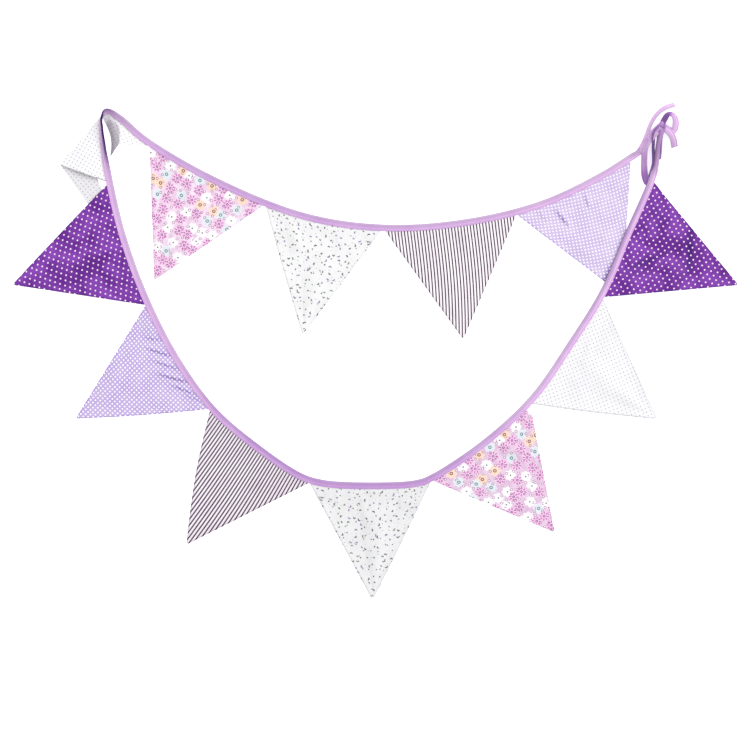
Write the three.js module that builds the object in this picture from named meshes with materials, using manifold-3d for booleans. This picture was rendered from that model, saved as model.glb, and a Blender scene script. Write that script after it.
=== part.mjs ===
// Fabric bunting laid out on a flat surface: twelve triangular cotton pennants
// sewn into one folded bias tape, whose two ends are tied together in a bow.
// Units are millimetres, +Z is up, the surface is z = 0 and the origin is the
// middle of the whole outline on that surface.

import * as THREE from "three";
import { mergeVertices } from "three/addons/utils/BufferGeometryUtils.js";
import Module from "manifold-3d";

const wasm = await Module();
wasm.setup();

// Driving dimensions
const CLOTH = 1.0;
const TAPE_WIDTH = 10;
const TAPE_SEWN = 3.0;
const TAPE_BARE = 1.6;
const FIT = 0.3;
const INSERTED = 5.5;
const SLOT_END = 1.0;
const LIP = 0.9;
const FOLD_LIP = 1.3;
const DROP = 20;
const LAYER = 1.9;
const BASE_STEPS = 9;
const FOLD_STEPS = 24;
const TAIL_STEP = 14;
const FINEST = 0.02;

// Colours and surface of the cloths
const COLOURS = {
  tape: 0xcfa6e0,
  lilac_dots: 0xcdbbe8,
  stripes: 0xb59ab8,
  white_sprig: 0xf4f1f8,
  pink_floral: 0xf0c9e2,
  white_pin_dots: 0xf6f4f7,
  purple_dots: 0x6f2a9c,
};
const COTTON = { roughness: 0.9, metalness: 0 };

// A table as a list of objects, one for each row
function table(columns, rows) {
  return rows.map((row) => Object.fromEntries(columns.map((name, i) => [name, row[i]])));
}

// The tape's middle line, from the tie along the upper strand, round the fold at the
// left and back along the front strand. clear is the height of its lowest edge and
// roll turns the open edge: 0 is left of the way, -90 is down and -180 is right of it.
const ROUTE = table(["x", "y", "clear", "roll"], [
  [392, 293, 1.5, -50],
  [373, 281.5, 0.2, 0],
  [339, 260, 0, 0],
  [250, 217, 0, 0],
  [139, 189, 0, 0],
  [15, 180, 0, 0],
  [-104, 197, 0, 0],
  [-237, 250, 0, 0],
  [-340, 310, 0, 0],
  [-377, 342, 0.5, -30],
  [-396, 352, 1.6, -66],
  [-403, 342, 1.8, -96],
  [-403, 326, 1.9, -118],
  [-400, 298, 2, -134],
  [-393, 254, 2, -180],
  [-373, 170, 2, -180],
  [-341, 81, 0, -180],
  [-297, -7, 0, -180],
  [-241, -86, 0, -180],
  [-178, -141, 0, -180],
  [-111, -186, 0, -180],
  [-79, -196, 0, -180],
  [-5, -200, 0, -180],
  [63, -196, 0, -180],
  [86, -187, 0, -180],
  [162, -136, 0, -180],
  [232, -71, 0, -180],
  [289, 10, 0, -180],
  [337, 88, 2, -180],
  [372, 170, 2, -180],
  [407, 251, 3, -180],
  [413, 275, 3.5, -232],
  [416, 305, 4.5, -236],
  [423, 331, 5.5, -205],
]);

// Pennants in their order along the tape. from and to are where the top edge starts and
// ends along the tape, x and y the tip, left and right how far the sides bow outwards,
// and ridge is the height of a soft fold that runs to the tip from the place at.
const PENNANTS = table(["cloth", "from", "to", "x", "y", "left", "right", "ridge", "at"], [
  ["lilac_dots", 22, 205, 362, 84, 0, 0, 1.0, 0.35],
  ["stripes", 208, 400, 129, 18, 0, 0, 1.4, 0.6],
  ["white_sprig", 408, 579, -107, 24, 0, 1, 3.2, 0.45],
  ["pink_floral", 585, 771, -325, 105, 0, 0, 2.4, 0.3],
  ["white_pin_dots", 775, 960, -399, 180, 0, 0, 0, 0.5],
  ["purple_dots", 967, 1150, -533, 97, 1, 0, 2.0, 0.65],
  ["lilac_dots", 1153, 1329, -440, -100, 0, 2, 2.2, 0.3],
  ["stripes", 1334, 1511, -277, -285, 5, 0, 1.5, 0.55],
  ["white_sprig", 1515, 1689, -4, -365, 0, 1, 2.8, 0.6],
  ["pink_floral", 1695, 1874, 263, -267, 0, 0, 1.8, 0.4],
  ["white_pin_dots", 1879, 2063, 414, -100, 2, 0, 2.6, 0.5],
  ["purple_dots", 2068, 2250, 533, 97, 0, 0, 2.0, 0.4],
]);
const FOLDED = 4;
const FIRST_OVER = 5;
const LAST_OVER = 11;

// The folded pennant: its apex on the tape, the outer end of the crease where it turns
// under, the notch in the lower layer and that layer's corner under the tape, and the
// low corner and the raised corner of the part that hangs from the upper strand
const APEX = { x: -402, y: 347 };
const CREASE = { x: -465, y: 273 };
const NOTCH = { x: -411, y: 252 };
const UNDER = { x: -404, y: 300 };
const INNER = { x: -391, y: 285 };
const RAISED = { x: -377, y: 303, z: 8 };
const RAISED_AT = 0.62;
const CREASE_Z = 2.4;
const CREASE_WIDTH = 1.6;
const PUFF = 3.0;

// Bands of the tie. z is the height of a band's middle line and roll is as above.
const BAND = ["x", "y", "z", "roll"];
const TIE = {
  long_end: table(BAND, [
    [389.5, 290, 4, -35],
    [398.5, 314, 6.5, -62],
    [404.5, 331, 7.5, -62],
    [414, 346.5, 7.5, -58],
    [425, 355.6, 6.5, -50],
    [440.5, 361.1, 4.5, -45],
  ]),
  strand_to_knot: table(BAND, [
    [388, 290, 3, -10],
    [399.5, 308, 6.5, 20],
    [408, 319, 8.5, 25],
    [422, 331, 9, 8],
  ]),
  upper_loop: table(BAND, [
    [420, 327, 8.5, -40],
    [425, 339, 9.5, -40],
    [431, 346.5, 10, -50],
    [438, 344, 10, -35],
    [441.5, 333, 9, -10],
    [437.5, 322, 8, -5],
    [423, 328, 7, -5],
  ]),
  short_end: table(BAND, [
    [417, 330, 9, 0],
    [430, 322, 9, 0],
    [437.5, 312.5, 6.5, 4],
    [441, 299, 2.5, 8],
  ]),
  lower_loop: table(BAND, [
    [422, 330, 8, -30],
    [411, 320, 8, -56],
    [408.5, 300, 7, -60],
    [409.5, 275, 5.5, -52],
    [407, 256, 2.9, 0],
    [402, 246, 2.8, 0],
    [397.5, 254, 3.6, -15],
    [395.5, 278, 6, -35],
    [398, 300, 8, -34],
    [413, 321, 8.8, -10],
  ]),
  low_end: table(BAND, [
    [423, 330, 7, 35],
    [418.5, 315, 7, 42],
    [417.8, 299, 6.5, 46],
    [417, 280.5, 5.5, 58],
  ]),
};
const KNOT = { x: 421.5, y: 330.5, z: 7.2, radius: 5.8, wall: 2.0, length: 10, turn: 48, flat: 0.82 };
const KNOT_SIDES = 14;

const smooth = (t) => THREE.MathUtils.smoothstep(t, 0, 1);
const mix = THREE.MathUtils.lerp;

// Smooth line through a table's x and y, with its other columns eased between rows
function routeOf(rows) {
  const points = rows.map((row) => new THREE.Vector3(row.x, row.y, row.z ?? 0));
  const curve = new THREE.CatmullRomCurve3(points, false, "centripetal");
  curve.arcLengthDivisions = 1200;
  const column = (name, t) => {
    const place = t * (rows.length - 1);
    const row = Math.min(Math.floor(place), rows.length - 2);
    return mix(rows[row][name], rows[row + 1][name], smooth(place - row));
  };
  return { curve, column, length: curve.getLength() };
}

// Middle, width direction and thickness direction of a band at t on its route
function frameAt(route, t) {
  const middle = route.curve.getPoint(t);
  const way = route.curve.getTangent(t);
  const flat = new THREE.Vector3(-way.y, way.x, 0).normalize();
  const roll = THREE.MathUtils.degToRad(route.column("roll", t));
  const width = flat.multiplyScalar(Math.cos(roll));
  width.z = Math.sin(roll);
  const thick = new THREE.Vector3().crossVectors(way, width).normalize();
  return { middle, width, thick };
}

const strand = routeOf(ROUTE);

// Thickness of the tape at a distance along it: thinner past the first and last pennant
function tapeThickness(along) {
  const first = PENNANTS[0].from;
  const last = PENNANTS.at(-1).to;
  const past = Math.max(first - SLOT_END - along, along - last - SLOT_END, 0);
  return mix(TAPE_SEWN, TAPE_BARE, smooth(past / DROP));
}

// Frame of the tape at a distance along it, lifted so its lowest edge is at clear
function strandFrame(along) {
  const t = strand.curve.getUtoTmapping(0, Math.min(Math.max(along, 0), strand.length));
  const frame = frameAt(strand, t);
  const thickness = tapeThickness(along);
  const reach = (TAPE_WIDTH * Math.abs(frame.width.z) + thickness * Math.abs(frame.thick.z)) / 2;
  frame.middle.z = strand.column("clear", t) + reach;
  frame.thickness = thickness;
  return frame;
}

// Point of a frame at an offset along its width and its thickness
function offset(frame, across, up) {
  return frame.middle.clone().addScaledVector(frame.width, across).addScaledVector(frame.thick, up);
}

// Four corners of a band's section between two offsets across it
function section(frame, low, high, thickness) {
  const half = thickness / 2;
  return [
    offset(frame, low, -half),
    offset(frame, high, -half),
    offset(frame, high, half),
    offset(frame, low, half),
  ];
}

// Closed geometry from triangles given as a flat list of points
function closed(points) {
  const positions = points.flatMap((point) => point.toArray());
  const geometry = new THREE.BufferGeometry();
  geometry.setAttribute("position", new THREE.Float32BufferAttribute(positions, 3));
  const merged = mergeVertices(geometry, 1e-3);
  const index = merged.index.array;
  const kept = [];
  for (let i = 0; i < index.length; i += 3) {
    const [a, b, c] = index.subarray(i, i + 3);
    if (a !== b && b !== c && c !== a) kept.push(a, b, c);
  }
  merged.setIndex(kept);
  return merged;
}

// Loft through sections of the same number of corners, closed by flat ends
function loft(sections) {
  const points = [];
  const corners = sections[0].length;
  for (let i = 0; i + 1 < sections.length; i += 1) {
    for (let k = 0; k < corners; k += 1) {
      const next = (k + 1) % corners;
      const [a, b, c, d] = [sections[i][k], sections[i][next], sections[i + 1][next], sections[i + 1][k]];
      points.push(a, c, b, a, d, c);
    }
  }
  const [start, end] = [sections[0], sections.at(-1)];
  for (let k = 1; k + 1 < corners; k += 1) {
    points.push(start[0], start[k], start[k + 1]);
    points.push(end[0], end[k + 1], end[k]);
  }
  return closed(points);
}

// Sheet of cloth through a grid of middle points, its thickness measured straight up
function sheet(grid) {
  const low = grid.map((row) => row.map((p) => p.clone().setZ(p.z - CLOTH / 2)));
  const high = grid.map((row) => row.map((p) => p.clone().setZ(p.z + CLOTH / 2)));
  const rows = grid.length - 1;
  const columns = grid[0].length - 1;
  const points = [];
  const quad = (a, b, c, d) => points.push(a, b, c, a, c, d);
  for (let i = 0; i < rows; i += 1) {
    for (let k = 0; k < columns; k += 1) {
      quad(high[i][k], high[i][k + 1], high[i + 1][k + 1], high[i + 1][k]);
      quad(low[i][k], low[i + 1][k], low[i + 1][k + 1], low[i][k + 1]);
    }
    quad(low[i][0], high[i][0], high[i + 1][0], low[i + 1][0]);
    quad(high[i][columns], low[i][columns], low[i + 1][columns], high[i + 1][columns]);
  }
  for (let k = 0; k < columns; k += 1) {
    quad(low[0][k], low[0][k + 1], high[0][k + 1], high[0][k]);
    quad(low[rows][k + 1], low[rows][k], high[rows][k], high[rows][k + 1]);
  }
  return closed(points);
}

// Geometry as a solid for cutting and joining, turned so that its faces point out
function solid(geometry) {
  const bare = mergeVertices(geometry, 1e-3);
  const vertProperties = bare.attributes.position.array;
  const make = (triVerts) => new wasm.Manifold(new wasm.Mesh({ numProp: 3, vertProperties, triVerts }));
  const triVerts = new Uint32Array(bare.index.array);
  const made = make(triVerts);
  return made.volume() > 0 ? made : make(triVerts.reverse());
}

// A solid with the sealed hollows inside it filled up
function filled(made) {
  const shells = made.decompose().filter((shell) => shell.volume() > 0);
  return shells.reduce((whole, shell) => whole.add(shell));
}

// A solid's faces as a geometry, without slivers finer than the finest detail
function geometryOf(made) {
  const mesh = filled(made.simplify(FINEST)).getMesh();
  const geometry = new THREE.BufferGeometry();
  geometry.setAttribute("position", new THREE.BufferAttribute(mesh.vertProperties, 3));
  geometry.setIndex(new THREE.BufferAttribute(mesh.triVerts, 1));
  return geometry;
}

// Places along the tape where a pennant's columns stand
function columnsOf(row) {
  const steps = row === PENNANTS[FOLDED] ? FOLD_STEPS : BASE_STEPS;
  return Array.from({ length: steps + 1 }, (_, k) => mix(row.from, row.to, k / steps));
}

// Places along the tape where its sections stand, the pennants' columns among them
function stations() {
  const sewn = PENNANTS.flatMap((row) => [row.from - SLOT_END, ...columnsOf(row), row.to + SLOT_END]);
  const tail = PENNANTS.at(-1).to + DROP;
  const rest = Array.from({ length: Math.ceil((strand.length - tail) / TAIL_STEP) }, (_, k) => tail + k * TAIL_STEP);
  return [0, ...sewn, ...rest, strand.length];
}

// Strip of the tape's own run, between two offsets across it
function run(places, low, high, thickness) {
  return loft(places.map((along) => {
    const frame = strandFrame(along);
    return section(frame, low, high, thickness ?? frame.thickness);
  }));
}

// Slot in the tape that a pennant's top edge sits in
function slot(row) {
  const places = [row.from - SLOT_END, ...columnsOf(row), row.to + SLOT_END];
  const inner = TAPE_WIDTH / 2 - INSERTED - FIT;
  return run(places, inner, TAPE_WIDTH / 2 + 2, CLOTH + 2 * FIT);
}

// One band of the tie
function band(rows) {
  const route = routeOf(rows);
  const count = Math.max(4, Math.round(route.length / TAIL_STEP) + rows.length);
  const sections = Array.from({ length: count + 1 }, (_, k) => {
    const frame = frameAt(route, k / count);
    return section(frame, -TAPE_WIDTH / 2, TAPE_WIDTH / 2, TAPE_BARE);
  });
  return loft(sections);
}

// The wrap of the knot, a short ring round the strands
function knot() {
  const half = KNOT.length / 2;
  const inner = KNOT.radius - KNOT.wall;
  const profile = [
    [inner, -half],
    [KNOT.radius, -half * 0.8],
    [KNOT.radius, half * 0.8],
    [inner, half],
    [inner, -half],
  ].map(([radius, along]) => new THREE.Vector2(radius, along));
  const ring = new THREE.LatheGeometry(profile, KNOT_SIDES);
  ring.deleteAttribute("normal");
  ring.deleteAttribute("uv");
  ring.scale(1, 1, KNOT.flat);
  ring.rotateZ(THREE.MathUtils.degToRad(KNOT.turn));
  ring.translate(KNOT.x, KNOT.y, KNOT.z);
  return ring;
}

// The whole tape: its run with a slot for each pennant, the bands of the tie and the knot
function tape() {
  const half = TAPE_WIDTH / 2;
  let made = solid(run(stations(), -half, half));
  for (const row of PENNANTS) made = made.subtract(solid(slot(row)));
  for (const rows of Object.values(TIE)) made = made.add(solid(band(rows)));
  return geometryOf(made.add(solid(knot())));
}

// How far a point lies outside a convex outline, nothing inside it
function outside(point, outline) {
  let furthest = 0;
  outline.forEach((corner, i) => {
    const next = outline[(i + 1) % outline.length];
    const [dx, dy] = [next.x - corner.x, next.y - corner.y];
    const side = ((point.x - corner.x) * dy - (point.y - corner.y) * dx) / Math.hypot(dx, dy);
    furthest = Math.max(furthest, side);
  });
  return furthest;
}

// Outline round the folded pennant's lower layer, and of the first pennant, each
// counterclockwise; the pennants that lie over them are raised there
function lowerLayer() {
  return [APEX, CREASE, PENNANTS[FOLDED], UNDER];
}

function firstPennant() {
  const [first] = PENNANTS;
  const ends = [first.to, first.from].map((along) => offset(strandFrame(along), TAPE_WIDTH / 2, 0));
  return [ends[0], first, ends[1]];
}

// Height that a layer lying over an outline is raised by at a point
function raised(point, outline) {
  if (!outline) return 0;
  const near = TAPE_WIDTH;
  return LAYER * (1 - smooth((outside(point, outline) - near) / (2 * DROP)));
}

// Rows of a flat pennant: the inserted edge, the lip at the tape and then to the tip
const INSIDE = [TAPE_WIDTH / 2 - INSERTED, TAPE_WIDTH / 2 + LIP];
const DOWN = [0.05, 0.12, 0.24, 0.38, 0.54, 0.7, 0.86, 1];

function pennant(row, under) {
  const tip = new THREE.Vector3(row.x, row.y, 0);
  const frames = columnsOf(row).map(strandFrame);
  const inserted = INSIDE.map((across) => frames.map((frame) => offset(frame, across, 0)));
  const edge = inserted.at(-1);
  const height = edge[Math.floor(edge.length / 2)].distanceTo(tip);
  const side = edge.at(-1).clone().sub(edge[0]).setZ(0).normalize();
  const rows = DOWN.map((v) => edge.map((top, k) => {
    const u = k / (edge.length - 1);
    const point = top.clone().lerp(tip, v);
    const bow = Math.sin(Math.PI * v);
    point.addScaledVector(side, bow * mix(-row.left, row.right, u));
    const fold = row.ridge * Math.exp(-(((u - row.at) / 0.2) ** 2)) * bow;
    const lying = CLOTH / 2 + raised(point, under) + Math.max(0, fold - 0.25 * row.ridge);
    point.z = mix(top.z, lying, smooth((v * height) / DROP));
    return point;
  }));
  return sheet([...inserted, ...rows]);
}

// Middle points between two edges, row by row from the first to the second
function between(first, second, steps, rise) {
  return Array.from({ length: steps + 1 }, (_, i) => first.map((start, k) => {
    const point = start.clone().lerp(second[k], i / steps);
    point.z += rise(i / steps, k / (first.length - 1));
    return point;
  }));
}

// The pennant at the fold of the tape. Its far part lies beside the front strand and
// turns under along a crease, its near part hangs from the upper strand.
function foldedPennant(row) {
  const places = columnsOf(row);
  const frames = places.map(strandFrame);
  const half = TAPE_WIDTH / 2;
  const insert = run(places, half - INSERTED, half + FOLD_LIP + CLOTH / 2, CLOTH);
  const edge = frames.map((frame) => offset(frame, half + FOLD_LIP, 0));
  const apex = edge.findIndex((point, k) => frames[k].width.z <= -0.985);
  const near = edge.slice(0, apex);
  const far = edge.slice(apex);

  const point = (at, z) => new THREE.Vector3(at.x, at.y, z);
  const nearEnd = near.map((start, k) => {
    const u = k / (near.length - 1);
    if (u < RAISED_AT) return near[0].clone().lerp(point(RAISED, RAISED.z), u / RAISED_AT);
    return point(RAISED, RAISED.z).lerp(point(INNER, CLOTH / 2), (u - RAISED_AT) / (1 - RAISED_AT));
  });
  const crease = (u) => point(APEX, CLOTH / 2).lerp(point(CREASE, CREASE_Z), u);
  const farEnd = far.map((start, k) => crease(k / (far.length - 1)));
  const nearSheet = sheet(between(near, nearEnd, 5, () => 0).map((line) => line.slice().reverse()));
  const puff = (v, u) => PUFF * Math.sin(Math.PI * v) * u;
  const farSheet = sheet(between(far, farEnd, 5, puff).map((line) => line.slice().reverse()));

  const outline = [APEX, CREASE, row, NOTCH, UNDER].map(({ x, y }) => new THREE.Vector2(x, y));
  const lower = new THREE.Shape(outline);
  const under = new THREE.ExtrudeGeometry(lower, { depth: CLOTH, bevelEnabled: false });
  under.deleteAttribute("normal");
  under.deleteAttribute("uv");

  const across = new THREE.Vector3(APEX.y - CREASE.y, CREASE.x - APEX.x, 0).setLength(CREASE_WIDTH / 2);
  const hinge = loft([0, 1].map((u) => {
    const [one, other] = [crease(u).sub(across), crease(u).add(across)];
    const high = one.z + CLOTH / 2;
    return [one.clone().setZ(0), other.clone().setZ(0), other.clone().setZ(high), one.clone().setZ(high)];
  }));
  return [nearSheet, farSheet, under, hinge].reduce((made, next) => made.add(solid(next)), solid(insert));
}

// A named piece in its cloth
function piece(name, geometry, colour) {
  const material = new THREE.MeshStandardMaterial({ ...COTTON, color: COLOURS[colour] });
  const mesh = new THREE.Mesh(geometry, material);
  mesh.name = name;
  return mesh;
}

function makePennant(row, i) {
  const name = `pennant_${String(i + 1).padStart(2, "0")}`;
  const under = { [FIRST_OVER]: lowerLayer(), [LAST_OVER]: firstPennant() }[i];
  const made = i === FOLDED ? foldedPennant(row) : solid(pennant(row, under));
  return piece(name, geometryOf(made), row.cloth);
}

const bunting = new THREE.Group();
bunting.add(piece("bias_tape", tape(), "tape"));
PENNANTS.forEach((row, i) => bunting.add(makePennant(row, i)));

export default bunting;
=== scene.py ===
"""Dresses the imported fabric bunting: each solid of the frame is stood for by finer cloth.

Twelve double cotton pennants are sewn into one folded bias tape, which lies in a loop on
a pale floor with its two ends tied in a bow. Lengths in the tables are millimetres in the
frame's own axes, as in the solids' source, and meshes are made in metres.
"""

import logging
import math
from collections.abc import Iterable, Sequence
from dataclasses import dataclass, field
from enum import Enum

import bmesh
import bpy
import numpy as np
from mathutils import Matrix


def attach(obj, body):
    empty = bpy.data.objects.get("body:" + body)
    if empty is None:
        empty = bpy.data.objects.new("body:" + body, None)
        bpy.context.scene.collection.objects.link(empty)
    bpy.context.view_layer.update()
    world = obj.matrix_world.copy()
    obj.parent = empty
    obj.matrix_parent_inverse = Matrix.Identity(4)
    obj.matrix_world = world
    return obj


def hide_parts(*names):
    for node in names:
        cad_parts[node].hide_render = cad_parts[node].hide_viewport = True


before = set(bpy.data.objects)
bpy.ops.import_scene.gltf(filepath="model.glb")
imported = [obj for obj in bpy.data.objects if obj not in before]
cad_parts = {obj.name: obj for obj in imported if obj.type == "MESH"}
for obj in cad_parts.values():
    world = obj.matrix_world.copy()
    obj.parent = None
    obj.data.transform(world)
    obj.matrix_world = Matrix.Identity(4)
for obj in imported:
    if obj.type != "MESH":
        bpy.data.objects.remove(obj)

BODY = "root"
MM = 0.001
UV_MAP = "flat_cloth"
SHADE = "shade"
Tree = bpy.types.NodeTree
Socket = bpy.types.NodeSocket
log = logging.getLogger("bunting")


class Cloth(Enum):
    """The bunting's cloths, each by the name of its finish."""

    TAPE = "tape_cotton"
    LILAC = "lilac_dot_cotton"
    STRIPED = "striped_cotton"
    SPRIG = "sprig_cotton"
    FLORAL = "floral_cotton"
    PIN_DOT = "pin_dot_cotton"
    PURPLE = "purple_dot_cotton"


# The tape's middle line from the tie along the upper strand, round the fold at the left and
# back along the front strand: x, y, height of the lowest edge, the turn of the open edge in
# degrees, where 0 is left of the way, -90 down and -180 right of it, and how deep in shade
# the face turned up, the face turned down and the closed edge lie, from 0 to 2.
ROUTE = (
    (392, 293, 1.5, -50, 0.15, 0.9, 0.0),
    (373, 281.5, 0.2, 0, 0.05, 0.5, 0.0),
    (339, 260, 0, 0, 0.05, 0.3, 0.0),
    (250, 217, 0, 0, 0.1, 0.3, 0.0),
    (139, 189, 0, 0, 0.22, 0.3, 0.0),
    (15, 180, 0, 0, 0.3, 0.4, 0.0),
    (-104, 197, 0, 0, 0.36, 0.5, 0.0),
    (-237, 250, 0, 0, 0.38, 0.5, 0.0),
    (-340, 310, 0, 0, 0.25, 0.5, 0.0),
    (-377, 342, 0.5, -30, 0.1, 0.7, 0.1),
    (-396, 352, 1.6, -66, 0.05, 1.4, 1.0),
    (-403, 342, 1.8, -96, 0.0, 2.0, 2.0),
    (-403, 326, 1.9, -118, 0.0, 2.0, 2.0),
    (-400, 298, 2, -134, 0.0, 2.0, 1.8),
    (-393, 254, 2, -180, 0.05, 1.0, 0.3),
    (-373, 170, 2, -180, 0.05, 0.3, 0.15),
    (-341, 81, 0, -180, 0.12, 0.3, 0.1),
    (-297, -7, 0, -180, 0.15, 0.3, 0.1),
    (-241, -86, 0, -180, 0.3, 0.3, 0.35),
    (-178, -141, 0, -180, 0.45, 0.3, 0.4),
    (-111, -186, 0, -180, 0.55, 0.3, 0.3),
    (-79, -196, 0, -180, 0.62, 0.3, 0.0),
    (-5, -200, 0, -180, 0.66, 0.3, 0.0),
    (63, -196, 0, -180, 0.62, 0.3, 0.0),
    (86, -187, 0, -180, 0.55, 0.3, 0.0),
    (162, -136, 0, -180, 0.35, 0.3, 0.0),
    (232, -71, 0, -180, 0.05, 0.3, 0.0),
    (289, 10, 0, -180, 0.0, 0.3, 0.2),
    (337, 88, 2, -180, 0.0, 0.3, 0.5),
    (372, 170, 2, -180, 0.0, 0.3, 0.8),
    (407, 251, 3, -180, 0.0, 0.6, 0.5),
    (413, 275, 3.5, -232, 0.0, 1.5, 0.2),
    (416, 305, 4.5, -236, 0.3, 1.6, 0.0),
    (423, 331, 5.5, -205, 0.8, 1.5, 0.0),
)

# Bands of the tie, each from end to end: x, y, height of the middle line, the turn of the
# open edge, and the shades of the face turned up and the face turned down.
TIE = {
    "long_end": (
        (389.5, 290, 4, -35, 0.1, 0.8),
        (398.5, 314, 6.5, -62, 0.0, 0.8),
        (404.5, 331, 7.5, -62, 0.0, 1.0),
        (414, 346.5, 7.5, -58, 0.0, 1.0),
        (425, 355.6, 6.5, -50, 0.0, 1.0),
        (440.5, 361.1, 4.5, -45, 0.0, 0.6),
    ),
    "strand_to_knot": (
        (388, 290, 3, -10, 0.0, 1.0),
        (399.5, 308, 6.5, 20, 0.0, 1.4),
        (408, 319, 8.5, 25, 0.2, 1.6),
        (422, 331, 9, 8, 0.6, 1.6),
    ),
    "upper_loop": (
        (420, 327, 8.5, -40, 0.9, 1.4),
        (425, 339, 9.5, -40, 1.5, 1.5),
        (431, 346.5, 10, -50, 1.5, 1.5),
        (438, 344, 10, -35, 0.3, 1.4),
        (441.5, 333, 9, -10, 0.0, 1.0),
        (437.5, 322, 8, -5, 0.0, 1.0),
        (423, 328, 7, -5, 0.6, 1.4),
    ),
    "short_end": (
        (417, 330, 9, 0, 0.2, 1.4),
        (430, 322, 9, 0, 0.0, 1.6),
        (437.5, 312.5, 6.5, 4, 0.0, 2.0),
        (441, 299, 2.5, 8, 0.1, 2.0),
    ),
    "lower_loop": (
        (422, 330, 8, -30, 0.9, 1.5),
        (411, 320, 8, -56, 1.4, 1.5),
        (408.5, 300, 7, -60, 1.75, 1.75),
        (409.5, 275, 5.5, -52, 1.6, 1.75),
        (407, 256, 2.9, 0, 1.2, 1.5),
        (402, 246, 2.8, 0, 1.4, 1.5),
        (397.5, 254, 3.6, -15, 1.25, 1.5),
        (395.5, 278, 6, -35, 0.5, 1.3),
        (398, 300, 8, -34, 0.0, 1.2),
        (413, 321, 8.8, -10, 0.2, 1.4),
    ),
    "low_end": (
        (423, 330, 7, 35, 0.9, 1.5),
        (418.5, 315, 7, 42, 0.2, 1.8),
        (417.8, 299, 6.5, 46, 0.0, 2.0),
        (417, 280.5, 5.5, 58, 0.2, 2.0),
    ),
}

# The folded pennant's corners: its apex on the tape, the outer end of the crease where it
# turns under, the notch in the lower layer, that layer's corner under the tape and its two
# corners under the next pennant, and the low corner and the raised corner of the part that
# hangs from the upper strand.
APEX = (-402.0, 347.0)
CREASE = (-465.0, 273.0)
NOTCH = (-411.0, 252.0)
UNDER = (-404.0, 300.0)
HIDDEN = (-385.0, 200.0)
HIDDEN_TIP = (-391.0, 169.0)
INNER = (-391.0, 285.0)
RAISED = (-377.0, 303.0, 8.0)

# Steps along the folded pennant's top edge, one of which ends at the apex, as in its solid.
FOLD_COLUMNS = 24


def smooth(value: np.ndarray) -> np.ndarray:
    """Eases a share from 0 to 1, held at both ends."""
    share = np.clip(value, 0, 1)
    return share * share * (3 - 2 * share)


def mix(start: np.ndarray, end: np.ndarray, share: np.ndarray) -> np.ndarray:
    """Value at a share of the way from start to end."""
    return start + (end - start) * share


def unit(vectors: np.ndarray) -> np.ndarray:
    """Vectors brought to length one."""
    return vectors / np.maximum(np.linalg.norm(vectors, axis=-1, keepdims=True), 1e-9)


def linear(code: str) -> tuple[float, float, float, float]:
    """Turns an sRGB colour into the linear one that a shader takes.

    Args:
        code: The colour as six hex digits.

    Returns:
        Red, green, blue and an alpha of one.
    """
    channels = [int(code[i : i + 2], 16) / 255 for i in (0, 2, 4)]
    red, green, blue = (c / 12.92 if c <= 0.04045 else ((c + 0.055) / 1.055) ** 2.4 for c in channels)
    return red, green, blue, 1.0


def add_node(
    tree: Tree,
    kind: str,
    inputs: dict | None = None,
    stops: Iterable[tuple[float, tuple[float, float, float, float]]] = (),
    **settings: object,
) -> bpy.types.Node:
    """Adds a node with its settings, input values and links.

    Args:
        tree: The material's node tree.
        kind: The node's type.
        inputs: A value or an output socket for each input, by name or number.
        stops: Place and colour of each stop of a colour ramp, in rising order.
        settings: The node's own properties.

    Returns:
        The new node.
    """
    node = tree.nodes.new(kind)
    for name, value in settings.items():
        setattr(node, name, value)
    for key, value in (inputs or {}).items():
        if isinstance(value, Socket):
            tree.links.new(value, node.inputs[key])
        else:
            node.inputs[key].default_value = value
    for count, (place, colour) in enumerate(stops):
        ramp = node.color_ramp.elements
        stop = ramp[count] if count < 2 else ramp.new(place)
        stop.position = place
        stop.color = colour
    return node


def blank_material(name: str) -> tuple[bpy.types.Material, Tree, Socket]:
    """Makes a material that has no shader yet.

    Args:
        name: The material's name.

    Returns:
        The material, its node tree, and the place on the flat cloth in metres.
    """
    made = bpy.data.materials.new(name)
    made.use_nodes = True
    tree = made.node_tree
    tree.nodes.clear()
    return made, tree, add_node(tree, "ShaderNodeUVMap", uv_map=UV_MAP).outputs["UV"]


def picked(tree: Tree, chance: Socket, starts: Sequence[float], values: Sequence[str | float]) -> Socket:
    """Picks one of several colours or numbers by a motif's own chance value.

    Args:
        tree: The material's node tree.
        chance: The motif's chance value, from 0 to 1.
        starts: Chance value that each of them starts at.
        values: Colours as hex digits, or numbers from 0 to 1.

    Returns:
        The one that is picked.
    """
    colours = [linear(value) if isinstance(value, str) else (value,) * 3 + (1.0,) for value in values]
    ramp = add_node(tree, "ShaderNodeValToRGB", {"Fac": chance}, zip(starts, colours))
    ramp.color_ramp.interpolation = "CONSTANT"
    return ramp.outputs["Color"]


def polar(tree: Tree, away: Socket) -> tuple[Socket, Socket]:
    """Distance from a motif's middle, and the angle round it.

    Args:
        tree: The material's node tree.
        away: The way from the motif's middle.

    Returns:
        The distance and the angle in radians.
    """
    radius = add_node(tree, "ShaderNodeVectorMath", {0: away}, operation="LENGTH").outputs["Value"]
    parts = add_node(tree, "ShaderNodeSeparateXYZ", {0: away}).outputs
    angle = add_node(tree, "ShaderNodeMath", {0: parts["Y"], 1: parts["X"]}, operation="ARCTAN2")
    return radius, angle.outputs[0]


def from_circle(tree: Tree, radius: Socket, circle: Socket | float) -> Socket:
    """How far a place lies from a circle round the motif's middle."""
    gap = add_node(tree, "ShaderNodeMath", {0: radius, 1: circle}, operation="SUBTRACT").outputs[0]
    return add_node(tree, "ShaderNodeMath", {0: gap}, operation="ABSOLUTE").outputs[0]


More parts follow.
